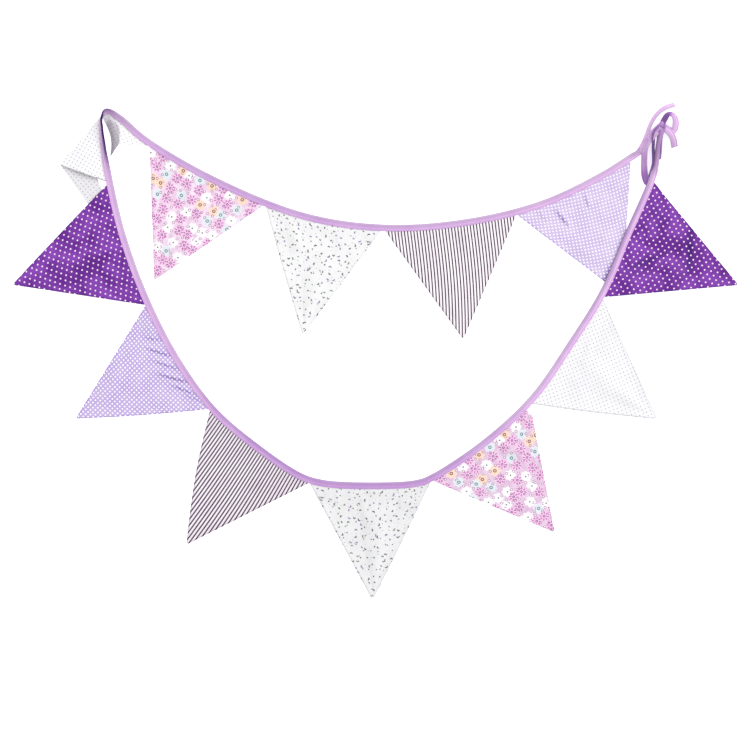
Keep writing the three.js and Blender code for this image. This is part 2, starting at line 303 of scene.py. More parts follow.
@dataclass
class Frames:
    """Places along a band of tape.

    Attributes:
        middle: The band's middle at each.
        width: The way its width points, towards the open edge.
        thick: The way its thickness points.
    """

    middle: np.ndarray
    width: np.ndarray
    thick: np.ndarray

    def offset(self, across: np.ndarray | float, up: np.ndarray | float = 0.0) -> np.ndarray:
        """Points at offsets along the width and the thickness."""
        sideways = self.width * np.asarray(across, float)[..., None]
        return self.middle + sideways + self.thick * np.asarray(up, float)[..., None]


@dataclass
class Route:
    """Smooth line through given rows, drawn as the solids' source draws it.

    Attributes:
        points: The rows' places, one row each.
        columns: The rows' other values by name.
        divisions: Steps in the table of lengths.
    """

    points: np.ndarray
    columns: dict[str, np.ndarray]
    divisions: int = 1200
    padded: np.ndarray = field(init=False)
    shares: np.ndarray = field(init=False)
    lengths: np.ndarray = field(init=False)

    def __post_init__(self) -> None:
        """Adds a point past each end and measures the line."""
        ends = 2 * self.points[[0, -1]] - self.points[[1, -2]]
        self.padded = np.vstack([ends[:1], self.points, ends[1:]])
        self.shares = np.linspace(0, 1, self.divisions + 1)
        steps = np.linalg.norm(np.diff(self.at(self.shares), axis=0), axis=1)
        self.lengths = np.concatenate([[0.0], np.cumsum(steps)])

    @property
    def length(self) -> float:
        """Length of the whole line."""
        return float(self.lengths[-1])

    def share_at(self, along: np.ndarray) -> np.ndarray:
        """Share of the rows passed at each distance along the line."""
        return np.interp(along, self.lengths, self.shares)

    def place(self, share: np.ndarray) -> tuple[np.ndarray, np.ndarray]:
        """Finds the rows that each place lies between.

        Args:
            share: Shares of the rows passed, from 0 to 1.

        Returns:
            Number of the row before each place, and the part of the step passed since.
        """
        where = np.clip(share, 0, 1) * (len(self.points) - 1)
        row = np.minimum(where.astype(int), len(self.points) - 2)
        return row, where - row

    def column(self, name: str, share: np.ndarray) -> np.ndarray:
        """Another value of the rows, eased between them.

        Args:
            name: The value's name.
            share: Shares of the rows passed, from 0 to 1.

        Returns:
            The value at each share.
        """
        row, part = self.place(share)
        values = self.columns[name]
        return mix(values[row], values[row + 1], smooth(part))

    def at(self, share: np.ndarray) -> np.ndarray:
        """Points of a centripetal curve through the rows.

        Args:
            share: Shares of the rows passed, from 0 to 1.

        Returns:
            One point for each share.
        """
        row, part = self.place(share)
        s = part[:, None]
        a, b, c, d = (self.padded[row + k] for k in range(4))
        before, here, after = (
            np.linalg.norm(q - p, axis=1, keepdims=True) ** 0.5 for p, q in ((a, b), (b, c), (c, d))
        )
        leave = here * ((b - a) / before - (c - a) / (before + here) + (c - b) / here)
        reach = here * ((c - b) / here - (d - b) / (here + after) + (d - c) / after)
        cubic = (2 * b - 2 * c + leave + reach) * s**3
        return cubic + (3 * c - 3 * b - 2 * leave - reach) * s**2 + leave * s + b

    def frames(self, share: np.ndarray) -> Frames:
        """Places along a band that follows this line.

        Args:
            share: Shares of the rows passed, from 0 to 1.

        Returns:
            The band's middle, and the ways its width and thickness point, at each share.
        """
        step = 1e-4
        way = unit(self.at(np.minimum(share + step, 1)) - self.at(np.maximum(share - step, 0)))
        flat = unit(np.stack([-way[:, 1], way[:, 0], np.zeros(len(way))], axis=1))
        turn = np.radians(self.column("turn", share))
        width = flat * np.cos(turn)[:, None]
        width[:, 2] = np.sin(turn)
        return Frames(self.at(share), width, unit(np.cross(way, width)))


@dataclass
class Patch:
    """Part of a mesh, in millimetres.

    Attributes:
        points: Its corners.
        faces: The corners of each face, by number.
        flat: Each corner's place on the flat cloth.
        shade: How deep in shade each corner lies, from 0 to 2.
    """

    points: np.ndarray
    faces: list[tuple[int, ...]]
    flat: np.ndarray
    shade: np.ndarray


def grid_faces(rows: int, columns: int) -> np.ndarray:
    """Quads of a grid of points that are numbered row by row.

    Args:
        rows: Number of rows.
        columns: Number of points in a row.

    Returns:
        The points' numbers, four for each quad.
    """
    index = np.arange(rows * columns).reshape(rows, columns)
    corners = [index[:-1, :-1], index[:-1, 1:], index[1:, 1:], index[1:, :-1]]
    return np.stack(corners, axis=-1).reshape(-1, 4)


def shell(middle: np.ndarray, flat: np.ndarray, half: np.ndarray, shade: np.ndarray) -> Patch:
    """Closed sheet round a grid of middle points.

    Args:
        middle: Middle points of the cloth, rows by columns.
        flat: Where each lies on the flat cloth.
        half: Half of the cloth's thickness at each.
        shade: How deep in shade each lies.

    Returns:
        The sheet, its two faces joined round the rim.
    """
    rows, columns, _ = middle.shape
    normal = unit(np.cross(np.gradient(middle, axis=1), np.gradient(middle, axis=0)))
    lift = normal * half[..., None]
    points = np.concatenate([(middle + lift).reshape(-1, 3), (middle - lift).reshape(-1, 3)])
    points[:, 2] = np.maximum(points[:, 2], 0.0)
    index = np.arange(rows * columns).reshape(rows, columns)
    ring = np.concatenate([index[0], index[1:, -1], index[-1, -2::-1], index[-2:0:-1, 0]])
    after = np.roll(ring, -1)
    under = rows * columns
    quads = grid_faces(rows, columns)
    sides = np.stack([ring, after, after + under, ring + under], axis=-1)
    faces = np.concatenate([quads, quads[:, ::-1] + under, sides])
    both = np.tile(flat.reshape(-1, 2), (2, 1))
    return Patch(points, [tuple(f) for f in faces.tolist()], both, np.tile(shade.ravel(), 2))


def loft(sections: np.ndarray, flat: np.ndarray, shade: np.ndarray, ring: bool = False) -> Patch:
    """Closed tube through sections of the same number of corners.

    Args:
        sections: Corners of each section, sections by corners.
        flat: Where each corner lies on the flat cloth.
        shade: How deep in shade each lies.
        ring: Whether the last section joins the first.

    Returns:
        The tube, with its two ends capped unless it is a ring.
    """
    count, corners, _ = sections.shape
    index = np.arange(count * corners).reshape(count, corners)
    start, end = (index, np.roll(index, -1, axis=0)) if ring else (index[:-1], index[1:])
    quads = np.stack([start, np.roll(start, -1, axis=1), np.roll(end, -1, axis=1), end], axis=-1)
    faces = [tuple(f) for f in quads.reshape(-1, 4).tolist()]
    if not ring:
        faces += [tuple(index[0, ::-1].tolist()), tuple(index[-1].tolist())]
    return Patch(sections.reshape(-1, 3), faces, flat.reshape(-1, 2), shade.ravel())


def mesh_of(name: str, patches: Sequence[Patch]) -> bpy.types.Object:
    """Joins patches into one object at the origin, in metres, with its faces out.

    Args:
        name: The piece's name.
        patches: The closed patches that it is made of.

    Returns:
        The linked object, with its flat cloth as a UV map in metres.
    """
    points, faces, flats, shades = [], [], [], []
    for patch in patches:
        start = sum(len(p) for p in points)
        points.append(patch.points)
        faces += [tuple(start + k for k in face) for face in patch.faces]
        flats.append(patch.flat)
        shades.append(patch.shade)
    mesh = bpy.data.meshes.new(name)
    mesh.from_pydata((np.concatenate(points) * MM).tolist(), [], faces)
    shaped = bmesh.new()
    shaped.from_mesh(mesh)
    bmesh.ops.recalc_face_normals(shaped, faces=shaped.faces)
    shaped.to_mesh(mesh)
    shaped.free()
    corners = np.zeros(len(mesh.loops), int)
    mesh.loops.foreach_get("vertex_index", corners)
    layer = mesh.uv_layers.new(name=UV_MAP)
    layer.data.foreach_set("uv", (np.concatenate(flats)[corners] * MM).ravel().astype(np.float32))
    attribute = mesh.attributes.new(SHADE, "FLOAT", "POINT")
    attribute.data.foreach_set("value", np.concatenate(shades).astype(np.float32))
    mesh.shade_smooth()
    mesh.validate()
    made = bpy.data.objects.new(name, mesh)
    bpy.context.scene.collection.objects.link(made)
    return made


@dataclass(frozen=True)
class Cotton:
    """Plain-woven cotton: matt, with a faint bloom of fibre ends on its slopes.

    Attributes:
        name: The material's name.
        ground: Colour of the cloth.
        deep: Colour that the ground is multiplied by at shade 1, in the half light of a fold.
        darkest: Colour that all is multiplied by at shade 2, deep between layers.
        mottle_and_highlight: Colour that the ground wanders towards in soft clouds at random: the cloth's
            own mottle, and on the purple cloth a painted highlight that stands for its folds.
        clouds: Width of those clouds in millimetres.
        thread: Spacing of the threads in millimetres. Real threads stand 0.35 mm apart, too
            fine to show, so pairs of them are drawn.
        slub: Length of the uneven places in the threads, in millimetres.
        slub_height: Height of those places, in heights of the weave.
        relief: Height of the weave in millimetres.
        softness: Width over which a printed edge bleeds into the threads, in millimetres.
        roughness: How matt the cloth is, from 0 to 1.
        sheen: Strength of the bloom on its slopes.
    """

    name: str
    ground: str
    deep: str
    mottle_and_highlight: str
    darkest: str = "6a5070"
    clouds: float = 22.0
    thread: float = 0.8
    slub: float = 3.0
    slub_height: float = 2.5
    relief: float = 0.05
    softness: float = 0.3
    roughness: float = 0.88
    sheen: float = 0.15

    def material(self) -> bpy.types.Material:
        """Makes the material once, for all the pieces in this finish.

        Returns:
            The material, shared by those pieces.
        """
        known = bpy.data.materials.get(self.name)
        if known:
            return known
        made, tree, uv = blank_material(self.name)
        scale = {"Vector": uv, "Scale": (1 / MM, 1 / MM, 1.0)}
        place = add_node(tree, "ShaderNodeMapping", scale).outputs["Vector"]
        shade = add_node(tree, "ShaderNodeAttribute", attribute_name=SHADE).outputs["Fac"]
        multiply = {"data_type": "RGBA", "blend_type": "MULTIPLY"}
        half_lit = {0: shade, 6: self.cloudy(tree, place), 7: linear(self.deep)}
        half_lit = add_node(tree, "ShaderNodeMix", half_lit, **multiply).outputs[2]
        rest = add_node(tree, "ShaderNodeMath", {0: shade, 1: 1.0}, operation="SUBTRACT", use_clamp=True)
        shaded = {0: rest.outputs[0], 6: self.printed(tree, place, half_lit), 7: linear(self.darkest)}
        inputs = {
            "Base Color": add_node(tree, "ShaderNodeMix", shaded, **multiply).outputs[2],
            "Roughness": self.roughness,
            "IOR": 1.46,
            "Specular IOR Level": 0.25,
            "Sheen Weight": self.sheen,
            "Sheen Roughness": 0.5,
            "Normal": self.weave(tree, place),
        }
        shader = add_node(tree, "ShaderNodeBsdfPrincipled", inputs)
        add_node(tree, "ShaderNodeOutputMaterial", {"Surface": shader.outputs["BSDF"]})
        return made

    def cloudy(self, tree: Tree, place: Socket) -> Socket:
        """Ground colour that wanders softly towards the mottle.

        Args:
            tree: The material's node tree.
            place: Place on the flat cloth in millimetres.

        Returns:
            The colour.
        """
        noise = {"Vector": place, "Scale": 1 / self.clouds, "Detail": 3.0, "Roughness": 0.6}
        noise = add_node(tree, "ShaderNodeTexNoise", noise, noise_dimensions="2D").outputs["Fac"]
        share = {"Value": noise, "From Min": 0.35, "From Max": 0.65}
        share = add_node(tree, "ShaderNodeMapRange", share).outputs[0]
        mixed = {0: share, 6: linear(self.ground), 7: linear(self.mottle_and_highlight)}
        return add_node(tree, "ShaderNodeMix", mixed, data_type="RGBA").outputs[2]

    def printed(self, tree: Tree, place: Socket, ground: Socket) -> Socket:
        """Colour with the print on it, which plain cloth leaves bare."""
        return ground

    def inked(
        self,
        tree: Tree,
        under: Socket,
        ink: Socket | str,
        distance: Socket,
        reach: float,
        strength: Socket | float = 1.0,
    ) -> Socket:
        """Lays an ink over a colour where a distance is below its reach, with a soft rim.

        Args:
            tree: The material's node tree.
            under: The colour below.
            ink: The ink's colour.
            distance: The distance that shapes the ink, in millimetres.
            reach: Where the ink ends.
            strength: Share of the ink where it is full.

        Returns:
            The colour with the ink on it.
        """
        inputs = {
            "Value": distance,
            "From Min": reach - self.softness,
            "From Max": reach + self.softness,
            "To Min": strength,
            "To Max": 0.0,
        }
        share = add_node(tree, "ShaderNodeMapRange", inputs, interpolation_type="SMOOTHSTEP")
        both = {0: share.outputs[0], 6: under, 7: linear(ink) if isinstance(ink, str) else ink}
        return add_node(tree, "ShaderNodeMix", both, data_type="RGBA").outputs[2]

    def scattered(
        self, tree: Tree, place: Socket, spacing: float, stray: float
    ) -> tuple[Socket, bpy.types.NodeOutputs]:
        """Motifs scattered over the cloth.

        Args:
            tree: The material's node tree.
            place: Place on the flat cloth in millimetres.
            spacing: Mean distance between two motifs.
            stray: How far each strays from an even lattice, from 0 to 1.

        Returns:
            The way from the nearest motif's middle in millimetres, and that motif's own chance
            values, named Red, Green and Blue.
        """
        small = {"Vector": place, "Scale": (1 / spacing, 1 / spacing, 1.0)}
        there = add_node(tree, "ShaderNodeMapping", small).outputs["Vector"]
        spots = {"Vector": there, "Scale": 1.0, "Randomness": stray}
        cells = add_node(tree, "ShaderNodeTexVoronoi", spots, voronoi_dimensions="2D").outputs
        away = {0: there, 1: cells["Position"]}
        away = add_node(tree, "ShaderNodeVectorMath", away, operation="SUBTRACT").outputs[0]
        full = {0: away, "Scale": spacing}
        away = add_node(tree, "ShaderNodeVectorMath", full, operation="SCALE").outputs[0]
        return away, add_node(tree, "ShaderNodeSeparateColor", {0: cells["Color"]}).outputs

    def weave(self, tree: Tree, place: Socket) -> Socket:
        """Normal of the woven threads, crossing over and under, with slubs among them.

        Args:
            tree: The material's node tree.
            place: Place on the flat cloth in millimetres.

        Returns:
            The normal.
        """
        pitch = 2 * math.pi / self.thread
        turned = {"Vector": place, "Scale": (pitch, pitch, 1.0)}
        turned = add_node(tree, "ShaderNodeMapping", turned).outputs["Vector"]
        waves = add_node(tree, "ShaderNodeVectorMath", {0: turned}, operation="SINE").outputs[0]
        parts = add_node(tree, "ShaderNodeSeparateXYZ", {0: waves}).outputs
        threads = {0: parts["X"], 1: parts["Y"]}
        threads = add_node(tree, "ShaderNodeMath", threads, operation="MULTIPLY").outputs[0]
        slubs = {"Vector": place, "Scale": 1 / self.slub, "Detail": 2.0}
        slubs = add_node(tree, "ShaderNodeTexNoise", slubs, noise_dimensions="2D").outputs["Fac"]
        height = {0: slubs, 1: self.slub_height, 2: threads}
        height = add_node(tree, "ShaderNodeMath", height, operation="MULTIPLY_ADD").outputs[0]
        bump = {"Strength": 0.6, "Distance": self.relief * MM, "Height": height}
        return add_node(tree, "ShaderNodeBump", bump).outputs["Normal"]


@dataclass(frozen=True)
class DottedCotton(Cotton):
    """Cotton with a printed lattice of round dots.

    Attributes:
        dot: Colour of the dots.
        across: Spacing of the dots in a row, with a row shifted by half between two.
        down: Spacing of two rows that are alike.
        radius: Radius of a dot.
        turn: Turn of the lattice from the pennant's top edge, in degrees.
    """

    dot: str = "ffffff"
    across: float = 11.7
    down: float = 9.7
    radius: float = 1.4
    turn: float = 12.0

    def printed(self, tree: Tree, place: Socket, ground: Socket) -> Socket:
        """Lays the dots over the ground.

        Args:
            tree: The material's node tree.
            place: Place on the flat cloth in millimetres.
            ground: The ground's colour.

        Returns:
            The colour with the dots on it.
        """
        laid = {"Vector": place, "Rotation": (0.0, 0.0, math.radians(self.turn))}
        laid = add_node(tree, "ShaderNodeMapping", laid).outputs["Vector"]
        cell = {
            "Rotation": (0.0, 0.0, math.radians(45)),
            "Scale": (math.sqrt(2) / self.across, math.sqrt(2) / self.down, 1.0),
        }
        there = add_node(tree, "ShaderNodeMapping", {"Vector": laid, **cell}).outputs["Vector"]
        points = {"Vector": there, "Scale": 1.0, "Randomness": 0.0}
        points = add_node(tree, "ShaderNodeTexVoronoi", points, voronoi_dimensions="2D")
        gap = {0: there, 1: points.outputs["Position"]}
        gap = add_node(tree, "ShaderNodeVectorMath", gap, operation="SUBTRACT").outputs[0]
        back = add_node(tree, "ShaderNodeMapping", {"Vector": gap, **cell}, vector_type="TEXTURE")
        radius, _ = polar(tree, back.outputs["Vector"])
        return self.inked(tree, ground, self.dot, radius, self.radius)


@dataclass(frozen=True)
class StripedCotton(Cotton):
    """Cotton with narrow printed stripes that run from the tape to the tip.

    Attributes:
        stripe: Colour of the stripes.
        period: Spacing of the stripes.
        share: Share of the period that is dark.
        turn: Turn of the stripes from the pennant's middle line, in degrees.
    """

    stripe: str = "30062a"
    period: float = 4.6
    share: float = 0.36
    turn: float = 2.0

    def printed(self, tree: Tree, place: Socket, ground: Socket) -> Socket:
        """Lays the stripes over the ground.

        Args:
            tree: The material's node tree.
            place: Place on the flat cloth in millimetres.
            ground: The ground's colour.

        Returns:
            The colour with the stripes on it.
        """
        turned = {"Vector": place, "Rotation": (0.0, 0.0, math.radians(self.turn))}
        turned = add_node(tree, "ShaderNodeMapping", turned).outputs["Vector"]
        across = add_node(tree, "ShaderNodeSeparateXYZ", {0: turned}).outputs["X"]
        swing = {0: across, 1: self.period / 2}
        swing = add_node(tree, "ShaderNodeMath", swing, operation="PINGPONG").outputs[0]
        return self.inked(tree, ground, self.stripe, swing, self.period * self.share / 2)


@dataclass(frozen=True)
class Flower:
    """One kind of printed flower.

    Attributes:
        start: Chance value that it is picked from.
        petals: Colour of its petals.
        strokes: Colour of the strokes on them.
        strength: How strongly the strokes are printed, from 0 to 1.
        eye: Colour of its middle.
        ring: Radius of the ring in its middle, as a share of the petal's length.
        line: Colour of that ring.
    """

    start: float
    petals: str
    strokes: str
    strength: float
    eye: str
    ring: float
    line: str


@dataclass(frozen=True)
class FloralCotton(Cotton):
    """Cotton with a close scatter of small flowers and rings between them.

    Attributes:
        spacing: Mean distance between two flowers.
        petal: Length of a petal.
        petals: Number of petals.
        notch: Depth of the notches between them.
        stroke: Middle of the stroke on a petal, as a share of the petal.
        slim: How much narrower a stroke gets to its ends.
        eye: Radius of a flower's middle.
        line: Half of the width of the ring in it.
        disc: Radius of a pale disc between the flowers.
        circle: Radius of the ring on that disc.
        fine: Half of the width of that ring.
        clear: Distance from a flower's middle that such rings keep.
        pale: Colour of the discs.
        ring: Colour of the rings on them.
        kinds: The kinds of flower.
    """

    spacing: float = 16.5
    petal: float = 7.8
    petals: int = 8
    notch: float = 0.9
    stroke: float = 0.62
    slim: float = 2.4
    eye: float = 2.4
    line: float = 0.7
    disc: float = 2.6
    circle: float = 1.7
    fine: float = 0.42
    clear: float = 4.4
    pale: str = "fdf1fa"
    ring: str = "a8669c"
    kinds: tuple[Flower, ...] = (
        Flower(0.0, "f3cdea", "c661b4", 0.95, "fff6fc", 0.167, "984a9c"),
        Flower(0.38, "fce2cd", "f8d2b0", 0.6, "fadcc0", 0.244, "8a5064"),
        Flower(0.52, "e8edf3", "dae4ec", 0.6, "eef4f5", 0.231, "5f8690"),
        Flower(0.64, "fffdff", "f6e8f6", 0.5, "fffdff", 0.058, "5a6468"),
    )

    def printed(self, tree: Tree, place: Socket, ground: Socket) -> Socket:
        """Lays the discs, the flowers and the rings over the ground.

        Args:
            tree: The material's node tree.
            place: Place on the flat cloth in millimetres.
            ground: The ground's colour.

        Returns:
            The colour with all of them on it.
        """
        away, _ = self.scattered(tree, place, 0.58 * self.spacing, 0.75)
        small, _ = polar(tree, away)
        away, chances = self.scattered(tree, place, self.spacing, 0.4)
        radius, angle = polar(tree, away)
        chance = chances["Green"]
        starts = [kind.start for kind in self.kinds]
        traits = zip(*((k.petals, k.strokes, k.strength, k.eye, k.ring, k.line) for k in self.kinds))
        petals, strokes, strength, eye, ring, line = (picked(tree, chance, starts, t) for t in traits)
        turned = {0: angle, 1: float(self.petals), 2: chance}
        turned = add_node(tree, "ShaderNodeMath", turned, operation="MULTIPLY_ADD").outputs[0]
        lobe = add_node(tree, "ShaderNodeMath", {0: turned}, operation="COSINE").outputs[0]
        rim = {0: lobe, 1: -self.notch, 2: radius}
        rim = add_node(tree, "ShaderNodeMath", rim, operation="MULTIPLY_ADD").outputs[0]
        stroke = {0: lobe, 1: -self.slim, 2: from_circle(tree, radius, self.stroke * self.petal)}
        stroke = add_node(tree, "ShaderNodeMath", stroke, operation="MULTIPLY_ADD").outputs[0]
        ring = add_node(tree, "ShaderNodeMath", {0: ring, 1: self.petal}, operation="MULTIPLY").outputs[0]
        clear = add_node(tree, "ShaderNodeMath", {0: self.clear, 1: radius}, operation="SUBTRACT")
        open_ring = {0: from_circle(tree, small, self.circle), 1: clear.outputs[0]}
        open_ring = add_node(tree, "ShaderNodeMath", open_ring, operation="MAXIMUM").outputs[0]
        colour = self.inked(tree, ground, self.pale, small, self.disc)
        colour = self.inked(tree, colour, petals, rim, self.petal)
        colour = self.inked(tree, colour, strokes, stroke, -0.1, strength)
        colour = self.inked(tree, colour, eye, radius, self.eye)
        colour = self.inked(tree, colour, line, from_circle(tree, radius, ring), self.line)
        return self.inked(tree, colour, self.ring, open_ring, self.fine)


@dataclass(frozen=True)
class SpriggedCotton(Cotton):
    """White cotton with a loose scatter of specks, short strokes and little arcs.

    Attributes:
        spacing: Mean distance between two arcs or strokes.
        specks: Mean distance between two specks.
        speck: Radius of the largest specks.
        spread: How much smaller the smallest are.
        least: Radius of the smallest arc.
        growth: How much larger the largest is.
        bend: How fast an arc thins to its ends.
        starts: Chance value that each ink is picked from.
        inks: The colours of the print.
    """

    spacing: float = 9.0
    specks: float = 5.0
    speck: float = 0.66
    spread: float = 1.6
    least: float = 0.5
    growth: float = 1.7
    bend: float = 0.9
    starts: tuple[float, float, float] = (0.0, 0.45, 0.75)
    inks: tuple[str, str, str] = ("66626c", "9480ac", "828e84")

    def printed(self, tree: Tree, place: Socket, ground: Socket) -> Socket:
        """Lays the specks, strokes and arcs over the ground.

        Args:
            tree: The material's node tree.
            place: Place on the flat cloth in millimetres.
            ground: The ground's colour.

        Returns:
            The colour with all of them on it.
        """
        away, chances = self.scattered(tree, place, self.specks, 0.95)
        radius, _ = polar(tree, away)
        fewer = {0: chances["Green"], 1: self.spread, 2: radius}
        fewer = add_node(tree, "ShaderNodeMath", fewer, operation="MULTIPLY_ADD").outputs[0]
        ink = picked(tree, chances["Red"], self.starts, self.inks)
        specked = self.inked(tree, ground, ink, fewer, self.speck)
        away, chances = self.scattered(tree, place, self.spacing, 0.9)
        radius, angle = polar(tree, away)
        turned = {0: chances["Blue"], 1: 2 * math.pi, 2: angle}
        turned = add_node(tree, "ShaderNodeMath", turned, operation="MULTIPLY_ADD").outputs[0]
        facing = add_node(tree, "ShaderNodeMath", {0: turned}, operation="COSINE").outputs[0]
        size = {0: chances["Green"], 1: self.growth, 2: self.least}
        size = add_node(tree, "ShaderNodeMath", size, operation="MULTIPLY_ADD").outputs[0]
        arc = {0: facing, 1: self.bend, 2: from_circle(tree, radius, size)}
        arc = add_node(tree, "ShaderNodeMath", arc, operation="MULTIPLY_ADD").outputs[0]
        ink = picked(tree, chances["Red"], self.starts, self.inks)
        return self.inked(tree, specked, ink, arc, 0.12)


@dataclass(frozen=True)
class BindingCotton(Cotton):
    """Cotton binding whose colour runs in bands across it, from the folded edge, four layers thick, to the
    open one: its lilac, with painted shade on the rounded folded edge and in the stitch line and a painted
    highlight beside the seam.

    Attributes:
        half: Half of the folded tape's width.
        colour_and_shade_bands: Share of the width and colour of each band of tone.
    """

    half: float = 5.0
    # Lilac of the tape, with painted shade at the folded edge (0.0) and in the stitch line (0.81), and a
    # painted highlight beside the seam (0.73)
    colour_and_shade_bands: tuple[tuple[float, str], ...] = (
        (0.0, "b99fc2"),
        (0.14, "dac3de"),
        (0.3, "cfb3d5"),
        (0.45, "dab8e1"),
        (0.6, "e0bae7"),
        (0.73, "f3d0f6"),
        (0.81, "cfa3da"),
        (0.9, "ebc0f1"),
    )

    def printed(self, tree: Tree, place: Socket, ground: Socket) -> Socket:
        """Lays the bands of colour, painted shade and painted highlight that run along the tape over the
        ground.

        Args:
            tree: The material's node tree.
            place: Place on the flat cloth in millimetres.
            ground: The ground's colour.

        Returns:
            The ground multiplied by the tones.
        """
        across = add_node(tree, "ShaderNodeSeparateXYZ", {0: place}).outputs["Y"]
        share = {"Value": across, "From Min": -self.half, "From Max": self.half}
        share = add_node(tree, "ShaderNodeMapRange", share).outputs[0]
        colour_and_shade_bands = [(start, linear(tone)) for start, tone in self.colour_and_shade_bands]
        ramp = add_node(tree, "ShaderNodeValToRGB", {"Fac": share}, colour_and_shade_bands)
        ramp.color_ramp.interpolation = "EASE"
        both = {0: 1.0, 6: ground, 7: ramp.outputs["Color"]}
        return add_node(tree, "ShaderNodeMix", both, data_type="RGBA", blend_type="MULTIPLY").outputs[2]


FINISHES: dict[Cloth, Cotton] = {
    # Bias binding, cut across the weave and pressed: a soft lilac, with a painted highlight beside its seam
    # and painted shade in the stitch line and on the folded edge
    Cloth.TAPE: BindingCotton(
        "bias_binding_cotton", "ffffff", "c8afdc", "f8f2fb", darkest="4a2484", clouds=40.0
    ),
    # Dyed poplin: matt lilac under close white dots, bluer where it turns from the light
    Cloth.LILAC: DottedCotton(
        "lilac_dotted_poplin",
        "dac6ec",
        "bfb0e4",
        "e4d4f1",
        across=7.0,
        down=7.0,
        radius=1.3,
        turn=57.0,
    ),
    # Printed poplin: crisp plum lines on white, which blend to a mauve grey from afar
    Cloth.STRIPED: StripedCotton("plum_striped_poplin", "fdf8fd", "c4b4c8", "f8f1f9", softness=0.06),
    # Printed poplin: white with grey and violet marks, with grey painted shade in its soft folds
    Cloth.SPRIG: SpriggedCotton("sprigged_poplin", "f5f5f6", "d2d2d4", "f0f0f1"),
    # Printed poplin: pink all over, from white, peach and magenta flowers close together
    Cloth.FLORAL: FloralCotton("floral_poplin", "f9e6f6", "d4c0d6", "edcbe8", clouds=12.0),
    # Printed poplin: nearly plain white, its dark dots only just seen
    Cloth.PIN_DOT: DottedCotton(
        "pin_dotted_poplin",
        "f8f7fa",
        "b4aeb6",
        "f4f3f6",
        dot="70646a",
        across=7.8,
        down=7.8,
        radius=0.62,
    ),
    # Dyed poplin: deep purple, lighter in soft clouds of painted highlight that stand for its folds, its
    # white dots sharp against it
    Cloth.PURPLE: DottedCotton(
        "purple_dotted_poplin", "682490", "8e74b0", "8a45b4", dot="fdecfd", radius=1.2, clouds=30.0
    ),
}


@dataclass(frozen=True)
class Thread:
    """Two-ply sewing thread, a little glossier than the cloth, its plies winding round it.

    Attributes:
        name: The material's name.
        colour: Colour of the thread.
        plies: Turns of the plies that show on one stitch.
    """

    name: str = "lilac_sewing_thread"
    colour: str = "ead2f2"
    plies: float = 5.0

    def material(self) -> bpy.types.Material:
        """Makes the thread's material.

        Returns:
            The material.
        """
        made, tree, uv = blank_material(self.name)
        wound = {"Vector": uv, "Scale": (1.0, self.plies, 1.0)}
        wound = add_node(tree, "ShaderNodeMapping", wound).outputs["Vector"]
        ply = {"Vector": wound, "Scale": 1.0, "Distortion": 0.4}
        ply = add_node(tree, "ShaderNodeTexWave", ply, bands_direction="DIAGONAL").outputs["Fac"]
        bump = add_node(tree, "ShaderNodeBump", {"Strength": 0.7, "Distance": 0.06 * MM, "Height": ply})
        inputs = {"Base Color": linear(self.colour), "Roughness": 0.6, "Normal": bump.outputs["Normal"]}
        shader = add_node(tree, "ShaderNodeBsdfPrincipled", inputs)
        add_node(tree, "ShaderNodeOutputMaterial", {"Surface": shader.outputs["BSDF"]})
        return made


def dress(piece: bpy.types.Object, finish: Cotton | Thread, cloth: Cloth, *nodes: str) -> None:
    """Gives a piece its finish and its body, and hides the solids that it stands for.

    Args:
        piece: The finished piece.
        finish: What its material is made by.
        cloth: The cloth that it belongs to; not used.
        nodes: The frame's nodes that it replaces.
    """
    piece.data.materials.append(finish.material())
    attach(piece, BODY)
    if nodes:
        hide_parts(*nodes)
    piece.data.calc_loop_triangles()
    log.info("%s: %d triangles", piece.name, len(piece.data.loop_triangles))


